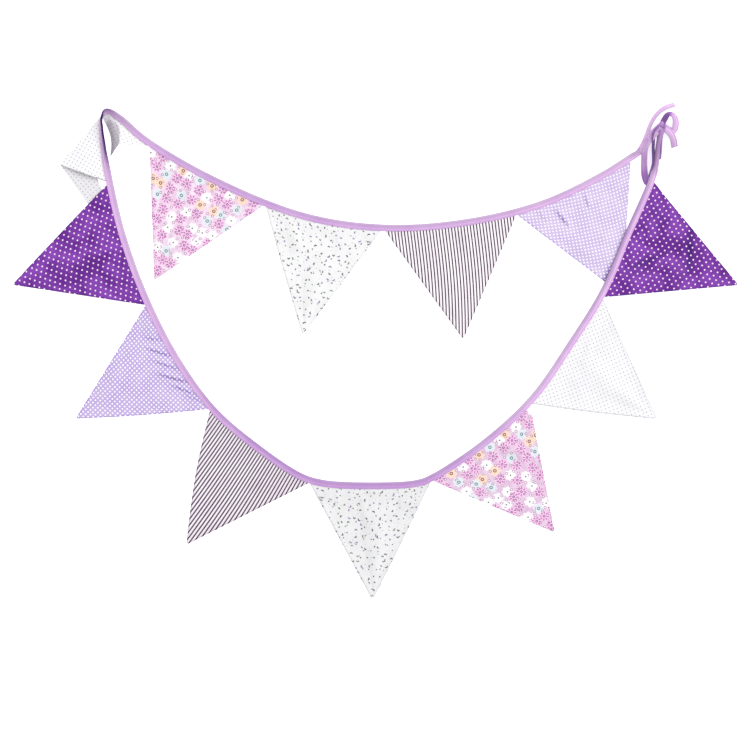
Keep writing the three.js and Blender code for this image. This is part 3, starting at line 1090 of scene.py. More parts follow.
@dataclass
class BiasTape:
    """The folded bias tape: its run round the loop, the bands of the tie and the knot.

    Attributes:
        width: Width of the folded tape.
        sewn: Thickness where pennants sit in it.
        bare: Thickness past the first and the last pennant.
        slot: Gap between its two layers where it is sewn.
        closed: The same gap where it is bare.
        depth: Depth of the slot that the pennants sit in.
        first: Where the first pennant starts.
        last: Where the last pennant ends.
        fade: Length over which the tape thins.
        seam: Distance of the stitch line from its middle, towards the open edge.
        groove: Depth that the stitches pull it in by.
        step: Spacing of the sections along the run.
        tie_step: Spacing of the sections along a band of the tie.
        rim: How far the closed edge's own shade reaches before it fades.
        rim_fade: Length over which it fades.
        run: The line round the loop.
    """

    width: float = 10.0
    sewn: float = 3.0
    bare: float = 1.6
    slot: float = 1.6
    closed: float = 0.24
    depth: float = 5.8
    first: float = 21.0
    last: float = 2251.0
    fade: float = 20.0
    seam: float = 3.1
    groove: float = 0.3
    step: float = 3.0
    tie_step: float = 1.8
    rim: float = 2.4
    rim_fade: float = 2.0
    run: Route = field(init=False)

    def __post_init__(self) -> None:
        """Lays the run along its rows."""
        rows = np.array(ROUTE, float)
        points = np.column_stack([rows[:, :2], np.zeros(len(rows))])
        names = ("clear", "turn", "shade", "under", "rim")
        self.run = Route(points, {name: rows[:, 2 + k] for k, name in enumerate(names)})

    def bareness(self, along: np.ndarray) -> np.ndarray:
        """How far the tape has thinned past the pennants, from 0 to 1."""
        past = np.maximum(np.maximum(self.first - along, along - self.last), 0)
        return smooth(past / self.fade)

    def frames(self, along: np.ndarray) -> Frames:
        """Places along the run, its lowest edge at the rows' height.

        Args:
            along: Distances along the run.

        Returns:
            The run's frames at those distances.
        """
        share = self.run.share_at(along)
        made = self.run.frames(share)
        thickness = mix(self.sewn, self.bare, self.bareness(along))
        reach = (self.width * abs(made.width[:, 2]) + thickness * abs(made.thick[:, 2])) / 2
        made.middle[:, 2] = self.run.column("clear", share) + reach
        return made

    def section(self, thickness: np.ndarray, gap: np.ndarray) -> tuple[np.ndarray, np.ndarray]:
        """Outline of the folded tape, a long C open at one edge.

        Args:
            thickness: Thickness at each section.
            gap: Gap between the layers at each section.

        Returns:
            Offsets across and up of the outline's corners, sections by corners.
        """
        half = self.width / 2
        seam, groove = self.seam, self.groove
        # Place across the tape, share of half its thickness there, and how far the stitches
        # pull it in, from the open edge to the rounded, closed one
        face = [
            (half, 0.56, 0.0),
            (half - 0.12, 0.8, 0.0),
            (half - 0.4, 0.97, 0.0),
            (half - 0.9, 1.0, 0.0),
            (seam + 0.6, 1.0, 0.1 * groove),
            (seam + 0.18, 1.0, groove),
            (seam - 0.18, 1.0, groove),
            (seam - 0.8, 1.0, 0.2 * groove),
            (seam - 1.9, 1.0, 0.0),
            (-1.5, 1.0, 0.0),
            (1.6 - half, 0.94, 0.0),
            (0.75 - half, 0.76, 0.0),
            (0.2 - half, 0.42, 0.0),
        ]
        across = [a for a, _, _ in face]
        top = [share * thickness / 2 - dip for _, share, dip in face]
        inner = half - self.depth
        lips = [half - 0.12, half - 2.4, inner]
        sides = across[::-1] + lips + lips[::-1] + across + [-half]
        slit = [gap / 2] * 3
        ups = top[::-1] + slit + [-s for s in slit] + [-t for t in top] + [np.zeros_like(thickness)]
        return np.tile(sides, (len(thickness), 1)), np.stack(ups, axis=1)

    def band(
        self,
        frames: Frames,
        along: np.ndarray,
        bareness: np.ndarray,
        shade: np.ndarray,
        under: np.ndarray,
        rim: np.ndarray | float = 0.0,
    ) -> Patch:
        """Loft of the folded tape along frames.

        Args:
            frames: Where its sections stand.
            along: Their distances along the flat tape.
            bareness: How far it has thinned at each.
            shade: How deep in shade the face turned up lies at each.
            under: The same for the face turned down.
            rim: How much deeper in painted shade the closed edge lies.

        Returns:
            The closed band.
        """
        thickness = mix(self.sewn, self.bare, bareness)
        across, up = self.section(thickness, mix(self.slot, self.closed, bareness))
        spread = Frames(frames.middle[:, None], frames.width[:, None], frames.thick[:, None])
        sections = spread.offset(across, up)
        flat = np.stack([np.broadcast_to(along[:, None], across.shape), across], axis=-1)
        facing = np.sign(frames.thick[:, 2])[:, None] * up > 0
        by_edge = 1 - smooth((across + self.width / 2 - self.rim) / self.rim_fade)
        edge_shade = np.broadcast_to(rim, along.shape)[:, None] * by_edge
        return loft(sections, flat, np.where(facing, shade[:, None], under[:, None]) + edge_shade)

    def run_patch(self) -> Patch:
        """Lofts the run from the tie round the loop and back.

        Returns:
            The closed band.
        """
        along = np.linspace(0, self.run.length, round(self.run.length / self.step))
        share = self.run.share_at(along)
        shades = [self.run.column(name, share) for name in ("shade", "under", "rim")]
        return self.band(self.frames(along), along, self.bareness(along), *shades)

    def tie_patch(self, rows: Sequence[Sequence[float]]) -> Patch:
        """Lofts one band of the tie.

        Args:
            rows: Its rows in the table of the tie.

        Returns:
            The closed band, its bands of colour, painted shade and painted highlight drawn together towards
            the middle of the tape's.
        """
        table = np.array(rows, float)
        columns = {"turn": table[:, 3], "shade": table[:, 4], "under": table[:, 5]}
        route = Route(table[:, :3], columns, divisions=300)
        along = np.linspace(0, route.length, round(route.length / self.tie_step))
        share = route.share_at(along)
        shade, under = route.column("shade", share), route.column("under", share)
        made = self.band(route.frames(share), along, np.ones_like(along), shade, under)
        made.flat[:, 1] = 0.8 * made.flat[:, 1] + 0.6
        return made

    def build(self) -> bpy.types.Object:
        """Builds the whole tape, dressed, and its stitching.

        Returns:
            The finished piece.
        """
        patches = [self.run_patch(), *(self.tie_patch(rows) for rows in TIE.values()), Knot().patch()]
        piece = mesh_of("bias_tape_cloth", patches)
        dress(piece, FINISHES[Cloth.TAPE], Cloth.TAPE, "bias_tape")
        stitching = Stitching().build(self)
        return piece


@dataclass
class Stitching:
    """The straight stitches that hold the pennants in the tape, one row on each face.

    Attributes:
        pitch: Distance from one stitch to the next.
        length: Length of the thread that shows in one.
        thread: Thickness of the thread.
        slack: Turn of a stitch from the seam's own way, in degrees.
    """

    pitch: float = 2.7
    length: float = 2.1
    thread: float = 0.34
    slack: float = 4.0

    def stitch(self) -> bpy.types.Object:
        """Models one stitch, its thread rounded down at both ends.

        Returns:
            The stitch, in millimetres, lying along x.
        """
        bpy.ops.object.select_all(action="DESELECT")
        bpy.ops.mesh.primitive_uv_sphere_add(segments=6, ring_count=5, radius=0.5)
        made = bpy.context.object
        made.data.transform(Matrix.Diagonal((self.thread, self.thread, self.length, 1.0)))
        made.data.transform(Matrix.Rotation(math.radians(90), 4, "Y"))
        made.data.uv_layers[0].name = UV_MAP
        made.data.shade_smooth()
        return made

    def build(self, tape: BiasTape) -> bpy.types.Object:
        """Copies the stitch along the seam on both faces.

        Args:
            tape: The tape that is sewn.

        Returns:
            The finished piece.
        """
        along = np.arange(tape.first + self.pitch, tape.last - self.pitch, self.pitch)
        frames = tape.frames(along)
        first = self.stitch()
        turn = Matrix.Rotation(math.radians(self.slack), 4, "Z")
        height = tape.sewn / 2 - tape.groove + self.thread / 4
        copies = []
        for side in (1, -1):
            middles = frames.offset(tape.seam, side * height)
            ways = np.cross(frames.width, frames.thick)
            for middle, way, width, thick in zip(middles, ways, frames.width, frames.thick):
                copy = bpy.data.objects.new(first.name, first.data.copy())
                place = Matrix(np.column_stack([way, width, thick]).tolist()).to_4x4()
                place.translation = middle
                copy.data.transform(Matrix.Scale(MM, 4) @ place @ turn)
                bpy.context.scene.collection.objects.link(copy)
                copies.append(copy)
        bpy.data.objects.remove(first)
        bpy.ops.object.select_all(action="DESELECT")
        for copy in copies:
            copy.select_set(True)
        bpy.context.view_layer.objects.active = copies[0]
        bpy.ops.object.join()
        piece = bpy.context.object
        piece.name = "bias_tape_stitching"
        piece.data.name = piece.name
        dress(piece, Thread(), Cloth.TAPE)
        return piece


@dataclass
class Knot:
    """The wrap of the knot, a short gathered ring round the strands.

    Attributes:
        x: Where its middle lies.
        y: The same across.
        z: The middle's height.
        radius: Radius of the ring.
        wall: Thickness of the ring.
        length: Length of the ring along the strands.
        turn: Turn of the strands from +Y, in degrees.
        flat: The ring's height as a share of its width.
        pleats: Depth of the pleats round it.
        ends: How far it is drawn in at both ends.
        swell: How far it bulges at two sides, as a share of the radius.
        shade: How deep in shade it lies.
        sides: Corners round it.
        steps: Rows along its outer side.
        inner: Rows along its inner side.
    """

    x: float = 421.5
    y: float = 330.5
    z: float = 7.2
    radius: float = 5.8
    wall: float = 2.0
    length: float = 10.0
    turn: float = 48.0
    flat: float = 0.82
    pleats: float = 0.45
    ends: float = 1.1
    swell: float = 0.05
    shade: float = 0.7
    sides: int = 56
    steps: int = 26
    inner: int = 6

    def patch(self) -> Patch:
        """Lofts the ring round the strands.

        Returns:
            The closed ring.
        """
        around = np.linspace(0, 2 * math.pi, self.sides, endpoint=False)[:, None]
        outer = np.linspace(-1, 1, self.steps)
        drawn_in = self.pleats * (1 - np.cos(outer * 3 * math.pi)) + self.ends * np.abs(outer) ** 3
        radii = np.concatenate([self.radius - drawn_in, np.full(self.inner, self.radius - self.wall)])
        back = np.linspace(1, -1, self.inner) * 0.96
        places = np.concatenate([outer, back])[None, :] * self.length / 2
        ring = radii[None, :] * (1 + self.swell * np.sin(2 * around))
        turn = math.radians(self.turn)
        sideways = ring * np.sin(around)
        x = self.x + sideways * math.cos(turn) - places * math.sin(turn)
        y = self.y + sideways * math.sin(turn) + places * math.cos(turn)
        z = self.z + ring * np.cos(around) * self.flat
        flat = np.stack(np.broadcast_arrays(around * self.radius, places), axis=-1)
        return loft(np.stack([x, y, z], axis=-1), flat, np.full(x.shape, self.shade), ring=True)


@dataclass(frozen=True)
class Crease:
    """Soft ridge in a pennant, placed on the flat cloth.

    Attributes:
        x: Its middle along the top edge, from the pennant's middle line.
        y: Its middle down from the top edge.
        turn: Its direction from the top edge, in degrees.
        length: Its length.
        width: Half of its width.
        height: Its height.
        dark: Shade of the hollow beside it for each millimetre of its height.
    """

    x: float
    y: float
    turn: float
    length: float
    width: float
    height: float
    dark: float = 0.07

    def strip(self, flat: np.ndarray, middle: float, width: float) -> np.ndarray:
        """Share from 0 to 1 of a soft strip along the ridge.

        Args:
            flat: Places on the flat cloth.
            middle: How far aside of the ridge the strip's middle lies.
            width: Half of the strip's width.

        Returns:
            The share at each place.
        """
        turn = math.radians(self.turn)
        x, y = flat[..., 0] - self.x, flat[..., 1] - self.y
        along = x * math.cos(turn) + y * math.sin(turn)
        aside = y * math.cos(turn) - x * math.sin(turn)
        fade = smooth((self.length / 2 - np.abs(along)) / (0.4 * self.length))
        return np.exp(-(((aside - middle) / width) ** 2)) * fade

    def rise(self, flat: np.ndarray) -> np.ndarray:
        """Height of the ridge at places on the flat cloth."""
        return self.height * self.strip(flat, 0.0, self.width)

    def shadow(self, flat: np.ndarray) -> np.ndarray:
        """Shade of the hollow beside the ridge."""
        return self.dark * self.height * self.strip(flat, -self.width, 0.7 * self.width)


@dataclass
class Pennant:
    """A double cotton triangle, sewn into the tape by its top edge and lying flat.

    Attributes:
        number: Its place along the tape.
        cloth: Its cloth.
        start: Where its top edge starts along the tape.
        end: Where its top edge ends.
        tip: Where its tip lies.
        left: How far its side at the start bows outwards.
        right: How far its other side bows outwards.
        ridge: Height of the soft fold that runs to the tip.
        at: Share of the top edge where that fold starts.
        creases: Further soft ridges.
        sway: How far the print swings aside on its way to the tip.
        tone: How deep in shade the whole of it lies, from 0 to 1.
        thickness: Thickness of its two layers.
        inserted: Depth that it sits in the tape.
        lip: How far it goes on straight past the tape's edge.
        drop: Length over which it sinks from the tape to the floor.
        layer: How high it lies over another layer.
        margin: How far round that layer it still lies at that height.
        allowance: Width of the seam allowance inside its sides, which stands out a little.
        blunt: Width of its tip.
        columns: Columns of its grid between the two allowances.
        step: Spacing of its rows.
        cut_length: Its length with the part in the tape; not used.
    """

    # Rows in the tape and before the tip, and columns at a side, close where the rim is round
    HIDDEN_ROWS = (0.0, 0.15, 0.45, 1.0, 2.4, 3.8, 5.2)
    TIP_ROWS = (1.8, 1.0, 0.5, 0.2, 0.0)
    TIP_LENGTH = 3.0
    SIDE_COLUMNS = (0.0, 0.16, 0.45, 0.9, 3.0)
    # Radius of the rim, and the share of the thickness that is left at its very edge
    RIM_RADIUS = 0.45
    RIM_SHARE = 0.35
    # How far the seam allowance stands out, and the length over which it eases off
    SEAM_RISE = 0.1
    SEAM_EASE = 1.6
    # Waves that add up to the puckers at the tape: their lengths, heights and reach down
    PUCKERS = 3
    PUCKER_LENGTH = (9, 19)
    PUCKER_HEIGHT = (0.12, 0.3)
    PUCKER_REACH = 14
    # The wave along the sides: height, lengths and reach inwards
    WAVE_HEIGHT = 0.5
    WAVE_LENGTH = (9, 14)
    WAVE_REACH = 12
    # How far the cloth lies off the floor where it is lowest
    LEAST_RISE = 0.2
    # Half of the soft fold's width as a share of the pennant's
    FOLD_WIDTH = 0.2
    # Shade at the very side, where it starts to fade and over what length; the deepest hollow
    SIDE_SHADE = 0.5
    SIDE_START = 0.4
    SIDE_FADE = 1.6
    DEEPEST = 0.9

    number: int
    cloth: Cloth
    start: float
    end: float
    tip: tuple[float, float]
    left: float
    right: float
    ridge: float
    at: float
    creases: tuple[Crease, ...] = ()
    sway: float = 0.0
    tone: float = 0.0
    thickness: float = 1.0
    inserted: float = 5.5
    lip: float = 0.9
    drop: float = 20.0
    layer: float = 1.9
    margin: float = 13.0
    allowance: float = 6.0
    blunt: float = 2.6
    columns: int = 48
    step: float = 2.5
    cut_length: float = 170.5

    @property
    def node(self) -> str:
        """Name of the solid that it stands for."""
        return f"pennant_{self.number:02d}"

    @property
    def base(self) -> float:
        """Length of its top edge."""
        return self.end - self.start

    def rows(self, height: float) -> tuple[np.ndarray, np.ndarray]:
        """Places the rows of the grid.

        Args:
            height: Distance from the top edge to where the sides would meet.

        Returns:
            The rows' distances down the cloth, and the share of that height that each has passed.
        """
        last = height * (1 - self.blunt / self.base)
        depth = np.array([*self.HIDDEN_ROWS, self.inserted + self.lip]) - self.inserted - self.lip
        down = np.linspace(0, last - self.TIP_LENGTH, round(height / self.step))[1:]
        end = last - np.array(self.TIP_ROWS)
        all_rows = np.concatenate([depth, [0.5], down, end])
        return all_rows, np.clip(all_rows / height, 0, 1)

    def across(self, width: np.ndarray) -> np.ndarray:
        """Places the columns of each row.

        Args:
            width: Width of each row.

        Returns:
            Shares of the width where the columns stand, rows by columns.
        """
        fine = np.array([*self.SIDE_COLUMNS, self.allowance, self.allowance + self.SEAM_EASE])
        # The fine columns of a side take no more than this part of a narrow row
        fit = np.minimum(1, width / (3.2 * fine[-1]))[:, None]
        near = fine[None, :] * fit / width[:, None]
        middle = np.linspace(0, 1, self.columns)[None, 1:-1]
        inner = mix(near[:, -1:], 1 - near[:, -1:], middle)
        return np.concatenate([near, inner, 1 - near[:, ::-1]], axis=1)

    def half_thickness(self, from_side: np.ndarray, from_end: np.ndarray) -> np.ndarray:
        """Half of the cloth's thickness: round at its edges, fuller over the seam allowance.

        Args:
            from_side: Distance of each place from the nearest side.
            from_end: Distance of each from the nearest end.

        Returns:
            Half of the thickness at each.
        """
        inwards = np.clip(np.minimum(from_side, from_end) / self.RIM_RADIUS, 0, 1)
        rim = self.RIM_SHARE + (1 - self.RIM_SHARE) * np.sqrt(1 - (1 - inwards) ** 2)
        seam = (1 - smooth((from_side - self.allowance) / self.SEAM_EASE)) * smooth(from_side / 0.8)
        return self.thickness / 2 * rim + self.SEAM_RISE * seam

    def relief(self, flat: np.ndarray, u: np.ndarray, from_side: np.ndarray) -> np.ndarray:
        """Height of the cloth's own unevenness: creases, puckers at the tape, waves at its sides.

        Args:
            flat: Places on the flat cloth.
            u: Share of the top edge at each.
            from_side: Distance of each from the nearest side.

        Returns:
            Heights, never under zero.
        """
        chance = np.random.default_rng(self.number)
        rise = sum((crease.rise(flat) for crease in self.creases), np.zeros(u.shape))
        puckers = np.zeros(u.shape)
        for _ in range(self.PUCKERS):
            length, phase = chance.uniform(*self.PUCKER_LENGTH), chance.uniform(0, 6.3)
            height = chance.uniform(*self.PUCKER_HEIGHT)
            puckers += height * np.sin(2 * math.pi * u * self.base / length + phase)
        puckers *= np.exp(-np.maximum(flat[..., 1], 0) / self.PUCKER_REACH)
        waves = np.sin(flat[..., 1] / chance.uniform(*self.WAVE_LENGTH) + 3 * u + chance.uniform(0, 6))
        waves *= self.WAVE_HEIGHT * np.exp(-from_side / self.WAVE_REACH)
        return np.maximum(rise + puckers + waves + self.LEAST_RISE, 0)

    def raised(self, points: np.ndarray, under: np.ndarray | None) -> np.ndarray:
        """Height that the cloth is lifted by over another layer.

        Args:
            points: Places in the row.
            under: Outline of that layer, counterclockwise, or nothing.

        Returns:
            Heights, full over the outline and easing off round it.
        """
        if under is None:
            return np.zeros(points.shape[:-1])
        furthest = np.zeros(points.shape[:-1])
        for corner, following in zip(under, np.roll(under, -1, axis=0)):
            way = unit(following - corner)
            gap = points[..., :2] - corner
            furthest = np.maximum(furthest, gap[..., 0] * way[1] - gap[..., 1] * way[0])
        return self.layer * (1 - smooth((furthest - self.margin) / (2 * self.drop)))

    def held_down(self, points: np.ndarray) -> np.ndarray:
        """Share of the unevenness left at each point, none where another layer lies on it."""
        return np.ones(points.shape[:-1])

    def shade(self, points: np.ndarray, flat: np.ndarray, from_side: np.ndarray) -> np.ndarray:
        """How deep in shade the cloth lies: at its sides and in the hollows by its creases.

        Args:
            points: Places in the row.
            flat: The same places on the flat cloth.
            from_side: Distance of each from the nearest side.

        Returns:
            Shades from 0, in full light, upwards.
        """
        hollows = sum((crease.shadow(flat) for crease in self.creases), np.zeros(from_side.shape))
        side = 1 - smooth((from_side - self.SIDE_START) / self.SIDE_FADE)
        return self.tone + self.SIDE_SHADE * side + np.minimum(hollows, self.DEEPEST)

    def grid(self, tape: BiasTape, under: np.ndarray | None) -> Patch:
        """The triangle as one closed sheet.

        Args:
            tape: The tape that it is sewn into.
            under: Outline of the layer that it lies over, or nothing.

        Returns:
            The sheet.
        """
        lip = tape.width / 2 + self.lip
        # The middle line runs from close to the middle of these places on the top edge
        guide = tape.frames(np.linspace(self.start, self.end, 10)).offset(lip)
        point = np.array([*self.tip, 0.0])
        tip = guide[5] + (point - guide[5]) / (1 - self.blunt / self.base)
        height = float(np.linalg.norm(guide[5] - tip))
        side = unit((guide[-1] - guide[0]) * (1, 1, 0))
        depth, v = self.rows(height)
        width = self.base * (1 - v)
        u = self.across(width)
        count = u.shape[1]
        frames = tape.frames((self.start + u * self.base).ravel())
        edge_offset = np.minimum(depth, 0)[:, None] + lip
        top = frames.offset(np.repeat(edge_offset, count, axis=1).ravel()).reshape(*u.shape, 3)
        share = v[:, None, None]
        bow = np.sin(math.pi * v)[:, None]
        points = mix(top, tip, share) + side * (bow * mix(-self.left, self.right, u))[..., None]
        x = (u - 0.5) * width[:, None]
        flat = np.stack([x, np.repeat(depth[:, None], count, axis=1)], axis=-1)
        from_side = np.minimum(u, 1 - u) * width[:, None]
        from_end = np.repeat(np.minimum(depth[-1] - depth, depth - depth[0])[:, None], count, axis=1)
        fold = self.ridge * np.exp(-(((u - self.at) / self.FOLD_WIDTH) ** 2)) * bow
        half = self.half_thickness(from_side, from_end)
        own = self.relief(flat, u, from_side) * self.held_down(points)
        lying = half + self.raised(points, under) + np.maximum(0, fold - 0.25 * self.ridge) + own
        points[..., 2] = mix(top[..., 2], lying, smooth(v[:, None] * height / self.drop))
        shade = self.shade(points, flat, from_side)
        flat[..., 0] += self.sway * np.sin(math.pi * v)[:, None]
        return shell(points, flat, half, shade)

    def build(self, tape: BiasTape, under: np.ndarray | None = None) -> bpy.types.Object:
        """Builds the pennant, dressed.

        Args:
            tape: The tape that it is sewn into.
            under: Outline of the layer that it lies over, or nothing.

        Returns:
            The finished piece.
        """
        piece = mesh_of(f"{self.node}_cloth", self.patches(tape, under))
        dress(piece, FINISHES[self.cloth], self.cloth, self.node)
        return piece

    def patches(self, tape: BiasTape, under: np.ndarray | None) -> list[Patch]:
        """Sheets that the pennant is made of."""
        return [self.grid(tape, under)]

    @property
    def held(self) -> str:
        """How it lies."""
        return "laid"


class FirstPennant(Pennant):
    """The first pennant, whose lower corner lies under the front strand and the last pennant."""

    # Two places on the front strand, and the shade that it lays on the cloth low down beside it
    FRONT = ((337.0, 88.0), (407.0, 251.0))
    STRAND_SHADE = 1.1

    def by_strand(self, points: np.ndarray) -> tuple[np.ndarray, np.ndarray]:
        """Measures places against the strand that crosses the pennant.

        Args:
            points: Places in the row.

        Returns:
            How far each lies along the strand, and to the left of it.
        """
        low, high = (np.array(p) for p in self.FRONT)
        way = unit(high - low)
        gap = points[..., :2] - low
        return gap @ way, gap[..., 1] * way[0] - gap[..., 0] * way[1]

    def held_down(self, points: np.ndarray) -> np.ndarray:
        """Share of the unevenness left, none by the strand that crosses it."""
        _, left_of = self.by_strand(points)
        return smooth((left_of - 10) / 30)

    def shade(self, points: np.ndarray, flat: np.ndarray, from_side: np.ndarray) -> np.ndarray:
        """How deep in shade the cloth lies, deepest low down beside the strand that crosses it.

        Args:
            points: Places in the row.
            flat: The same places on the flat cloth.
            from_side: Distance of each from the nearest side.

        Returns:
            Shades from 0, in full light, upwards.
        """
        along, left_of = self.by_strand(points)
        beside = (1 - smooth((along - 15) / 45)) * (1 - smooth((left_of - 4) / 9))
        return super().shade(points, flat, from_side) + self.STRAND_SHADE * beside

    def outline(self, tape: BiasTape) -> np.ndarray:
        """Its three corners, counterclockwise."""
        ends = tape.frames(np.array([self.end, self.start], float)).offset(tape.width / 2)
        return np.array([ends[0, :2], self.tip, ends[1, :2]])


class FoldedPennant(Pennant):
    """The pennant at the fold of the tape, half hanging from the upper strand, half turned under."""

    # Thickness of the cloth, and how far it goes on straight past the tape's edge
    CLOTH = 0.8
    LIP = 1.3
    # Share of the near part's top edge that its raised corner hangs from, and how far its far
    # side curls towards the front strand
    RAISED_AT = 0.62
    CURL = 6.5
    # Height of the crease at the apex and at its outer end, and how far the upper layer stands
    # up between the tape and the crease
    APEX_Z = 1.35
    TURN_Z = 2.4
    PUFF = 3.0

    @property
    def held(self) -> str:
        """How it lies."""
        return "folded"

    def outline(self) -> np.ndarray:
        """Corners of its lower layer, counterclockwise."""
        return np.array([APEX, CREASE, HIDDEN_TIP, HIDDEN])

    def apex_along(self, tape: BiasTape) -> float:
        """Finds where along the tape the open edge points straight down.

        Args:
            tape: The tape that it is sewn into.

        Returns:
            The distance along the tape.
        """
        places = np.linspace(self.start, self.end, FOLD_COLUMNS + 1)
        down = tape.frames(places).width[:, 2] <= -0.985
        return float(places[int(np.argmax(down))])

    def patches(self, tape: BiasTape, under: np.ndarray | None) -> list[Patch]:
        """The near part, and the far part with the layer that it turns under into."""
        apex = self.apex_along(tape)
        return [self.near_part(tape, apex), self.far_part(tape, apex)]

    def inserted_rows(self, tape: BiasTape, along: np.ndarray) -> np.ndarray:
        """Places the rows of the cloth inside the tape and at its lip.

        Args:
            tape: The tape that it is sewn into.
            along: Where along the tape each column stands.

        Returns:
            Middle points of the cloth, rows by columns.
        """
        frames = tape.frames(along)
        lip = tape.width / 2 + self.LIP
        places = np.array([0.0, 0.2, 0.5, 1.5, 2.8, 4.2, self.inserted]) - self.inserted + lip
        return np.stack([frames.offset(place) for place in places])

    def half_of(self, shape: tuple[int, int]) -> np.ndarray:
        """Half of the cloth's thickness, less in its outermost rows and columns.

        Args:
            shape: Number of rows and columns.

        Returns:
            Half of the thickness at each point of the grid.
        """
        half = np.full(shape, self.CLOTH / 2)
        for k, share in enumerate((0.35, 0.8)):
            half[:, k] *= share
            half[:, -1 - k] *= share
            half[-1 - k] *= share
        return half

    def near_part(self, tape: BiasTape, apex: float) -> Patch:
        """Makes the part that hangs from the upper strand, its far corner raised off the floor.

        Args:
            tape: The tape that it is sewn into.
            apex: Where along the tape the part ends.

        Returns:
            The closed sheet.
        """
        share = np.concatenate([[0.02, 0.022, 0.027], np.linspace(0.035, 0.99, 40), [0.996, 1.0]])
        inserted = self.inserted_rows(tape, mix(self.start, apex, 0.985 * share))
        edge = inserted[-1]
        start = self.inserted_rows(tape, np.array([self.start]))[-1, 0]
        raised, inner = np.array(RAISED), np.array([*INNER, self.CLOTH / 2])
        first = mix(start, raised, (share / self.RAISED_AT)[:, None])
        second = mix(raised, inner, ((share - self.RAISED_AT) / (1 - self.RAISED_AT))[:, None])
        end = np.where((share < self.RAISED_AT)[:, None], first, second)
        steps = np.concatenate([np.linspace(0, 0.97, 24)[1:], [0.985, 0.995, 1.0]])
        hanging = np.stack([mix(edge, end, step) for step in steps])
        hanging[..., 0] += np.sin(math.pi * steps)[:, None] * self.CURL * share[None, :] ** 3
        grid = np.concatenate([inserted, hanging])
        way = unit(edge[-1, :2] - edge[0, :2])
        flat = self.on_cloth(grid[..., :2], edge[0, :2], way)
        # Past the raised corner the cloth faces away from the light, most at its far side
        facet = smooth((share - self.RAISED_AT + 0.05) / 0.1)
        facet *= 0.7 + 0.35 * smooth((share - 0.75) / 0.25)
        from_tape = smooth((np.arange(len(grid)) - len(inserted)) / 5)
        return shell(grid, flat, self.half_of(grid.shape[:2]), from_tape[:, None] * facet[None, :])

    def far_part(self, tape: BiasTape, apex: float) -> Patch:
        """Makes the part left of the front strand, turned under along the crease.

        Args:
            tape: The tape that it is sewn into.
            apex: Where along the tape the part starts.

        Returns:
            The closed sheet, with the lower layer.
        """
        share = np.concatenate([[0.0, 0.004], np.linspace(0.012, 0.988, 44), [0.996, 1.0]])
        inserted = self.inserted_rows(tape, mix(apex, self.end, share))
        edge = inserted[-1]
        half = self.CLOTH / 2
        high = mix(self.APEX_Z, self.TURN_Z, share)
        crease = mix(np.array(APEX), np.array(CREASE), share[:, None])
        over = np.column_stack([crease, high])
        steps = np.linspace(0, 1, 30)[1:]
        upper = np.stack([mix(edge, over, step) for step in steps])
        upper[..., 2] += self.PUFF * np.sin(math.pi * steps)[:, None] * share[None, :]
        out = unit(np.array([CREASE[1] - APEX[1], APEX[0] - CREASE[0]]))
        radius = (high - half) / 2
        turning = []
        for angle in np.linspace(0, math.pi, 9)[1:-1]:
            place = crease + out * (radius * math.sin(angle))[:, None]
            turning.append(np.column_stack([place, half + radius * (1 + math.cos(angle))]))
        corners = np.array([UNDER, NOTCH, HIDDEN, HIDDEN_TIP])
        end = np.stack([np.interp(share, [0, 0.42, 0.8, 1], corners[:, k]) for k in (0, 1)], axis=-1)
        lower_steps = np.concatenate([np.linspace(0, 0.985, 34), [0.993, 1.0]])
        lower = np.stack([
            np.column_stack([mix(crease, end, step), np.full(len(share), half)]) for step in lower_steps
        ])
        grid = np.concatenate([inserted, upper, np.stack(turning), lower])
        way = unit(edge[-1, :2] - edge[0, :2])
        # Past the crease the cloth is turned over, so its flat places are mirrored there
        mirror = len(inserted) + len(upper) + len(turning) // 2
        places = grid[..., :2].copy()
        along_crease = unit(np.array(CREASE) - np.array(APEX))
        gap = places[mirror:] - np.array(APEX)
        along = (gap @ along_crease)[..., None] * along_crease
        places[mirror:] = np.array(APEX) + 2 * along - gap
        flat = self.on_cloth(places, edge[-1, :2], way)
        shade = np.zeros(grid.shape[:2])
        shade[mirror:] = 0.2
        # Painted shadow in the gap by the tape, above the notch of the lower layer
        notch_shadow = (share > 0.99)[None, :] & (grid[:mirror, :, 0] > -410)
        shade[:mirror][notch_shadow] = 2.0
        return shell(grid, flat, self.half_of(grid.shape[:2]), shade)

    def on_cloth(self, places: np.ndarray, origin: np.ndarray, way: np.ndarray) -> np.ndarray:
        """Turns places so that the top edge lies along x, as on the flat cloth.

        Args:
            places: Places in the row.
            origin: One end of the top edge.
            way: The way that the top edge points.

        Returns:
            The places on the flat cloth.
        """
        gap = places - origin
        down = np.array([way[1], -way[0]])
        return np.stack([gap @ way, gap @ down], axis=-1)


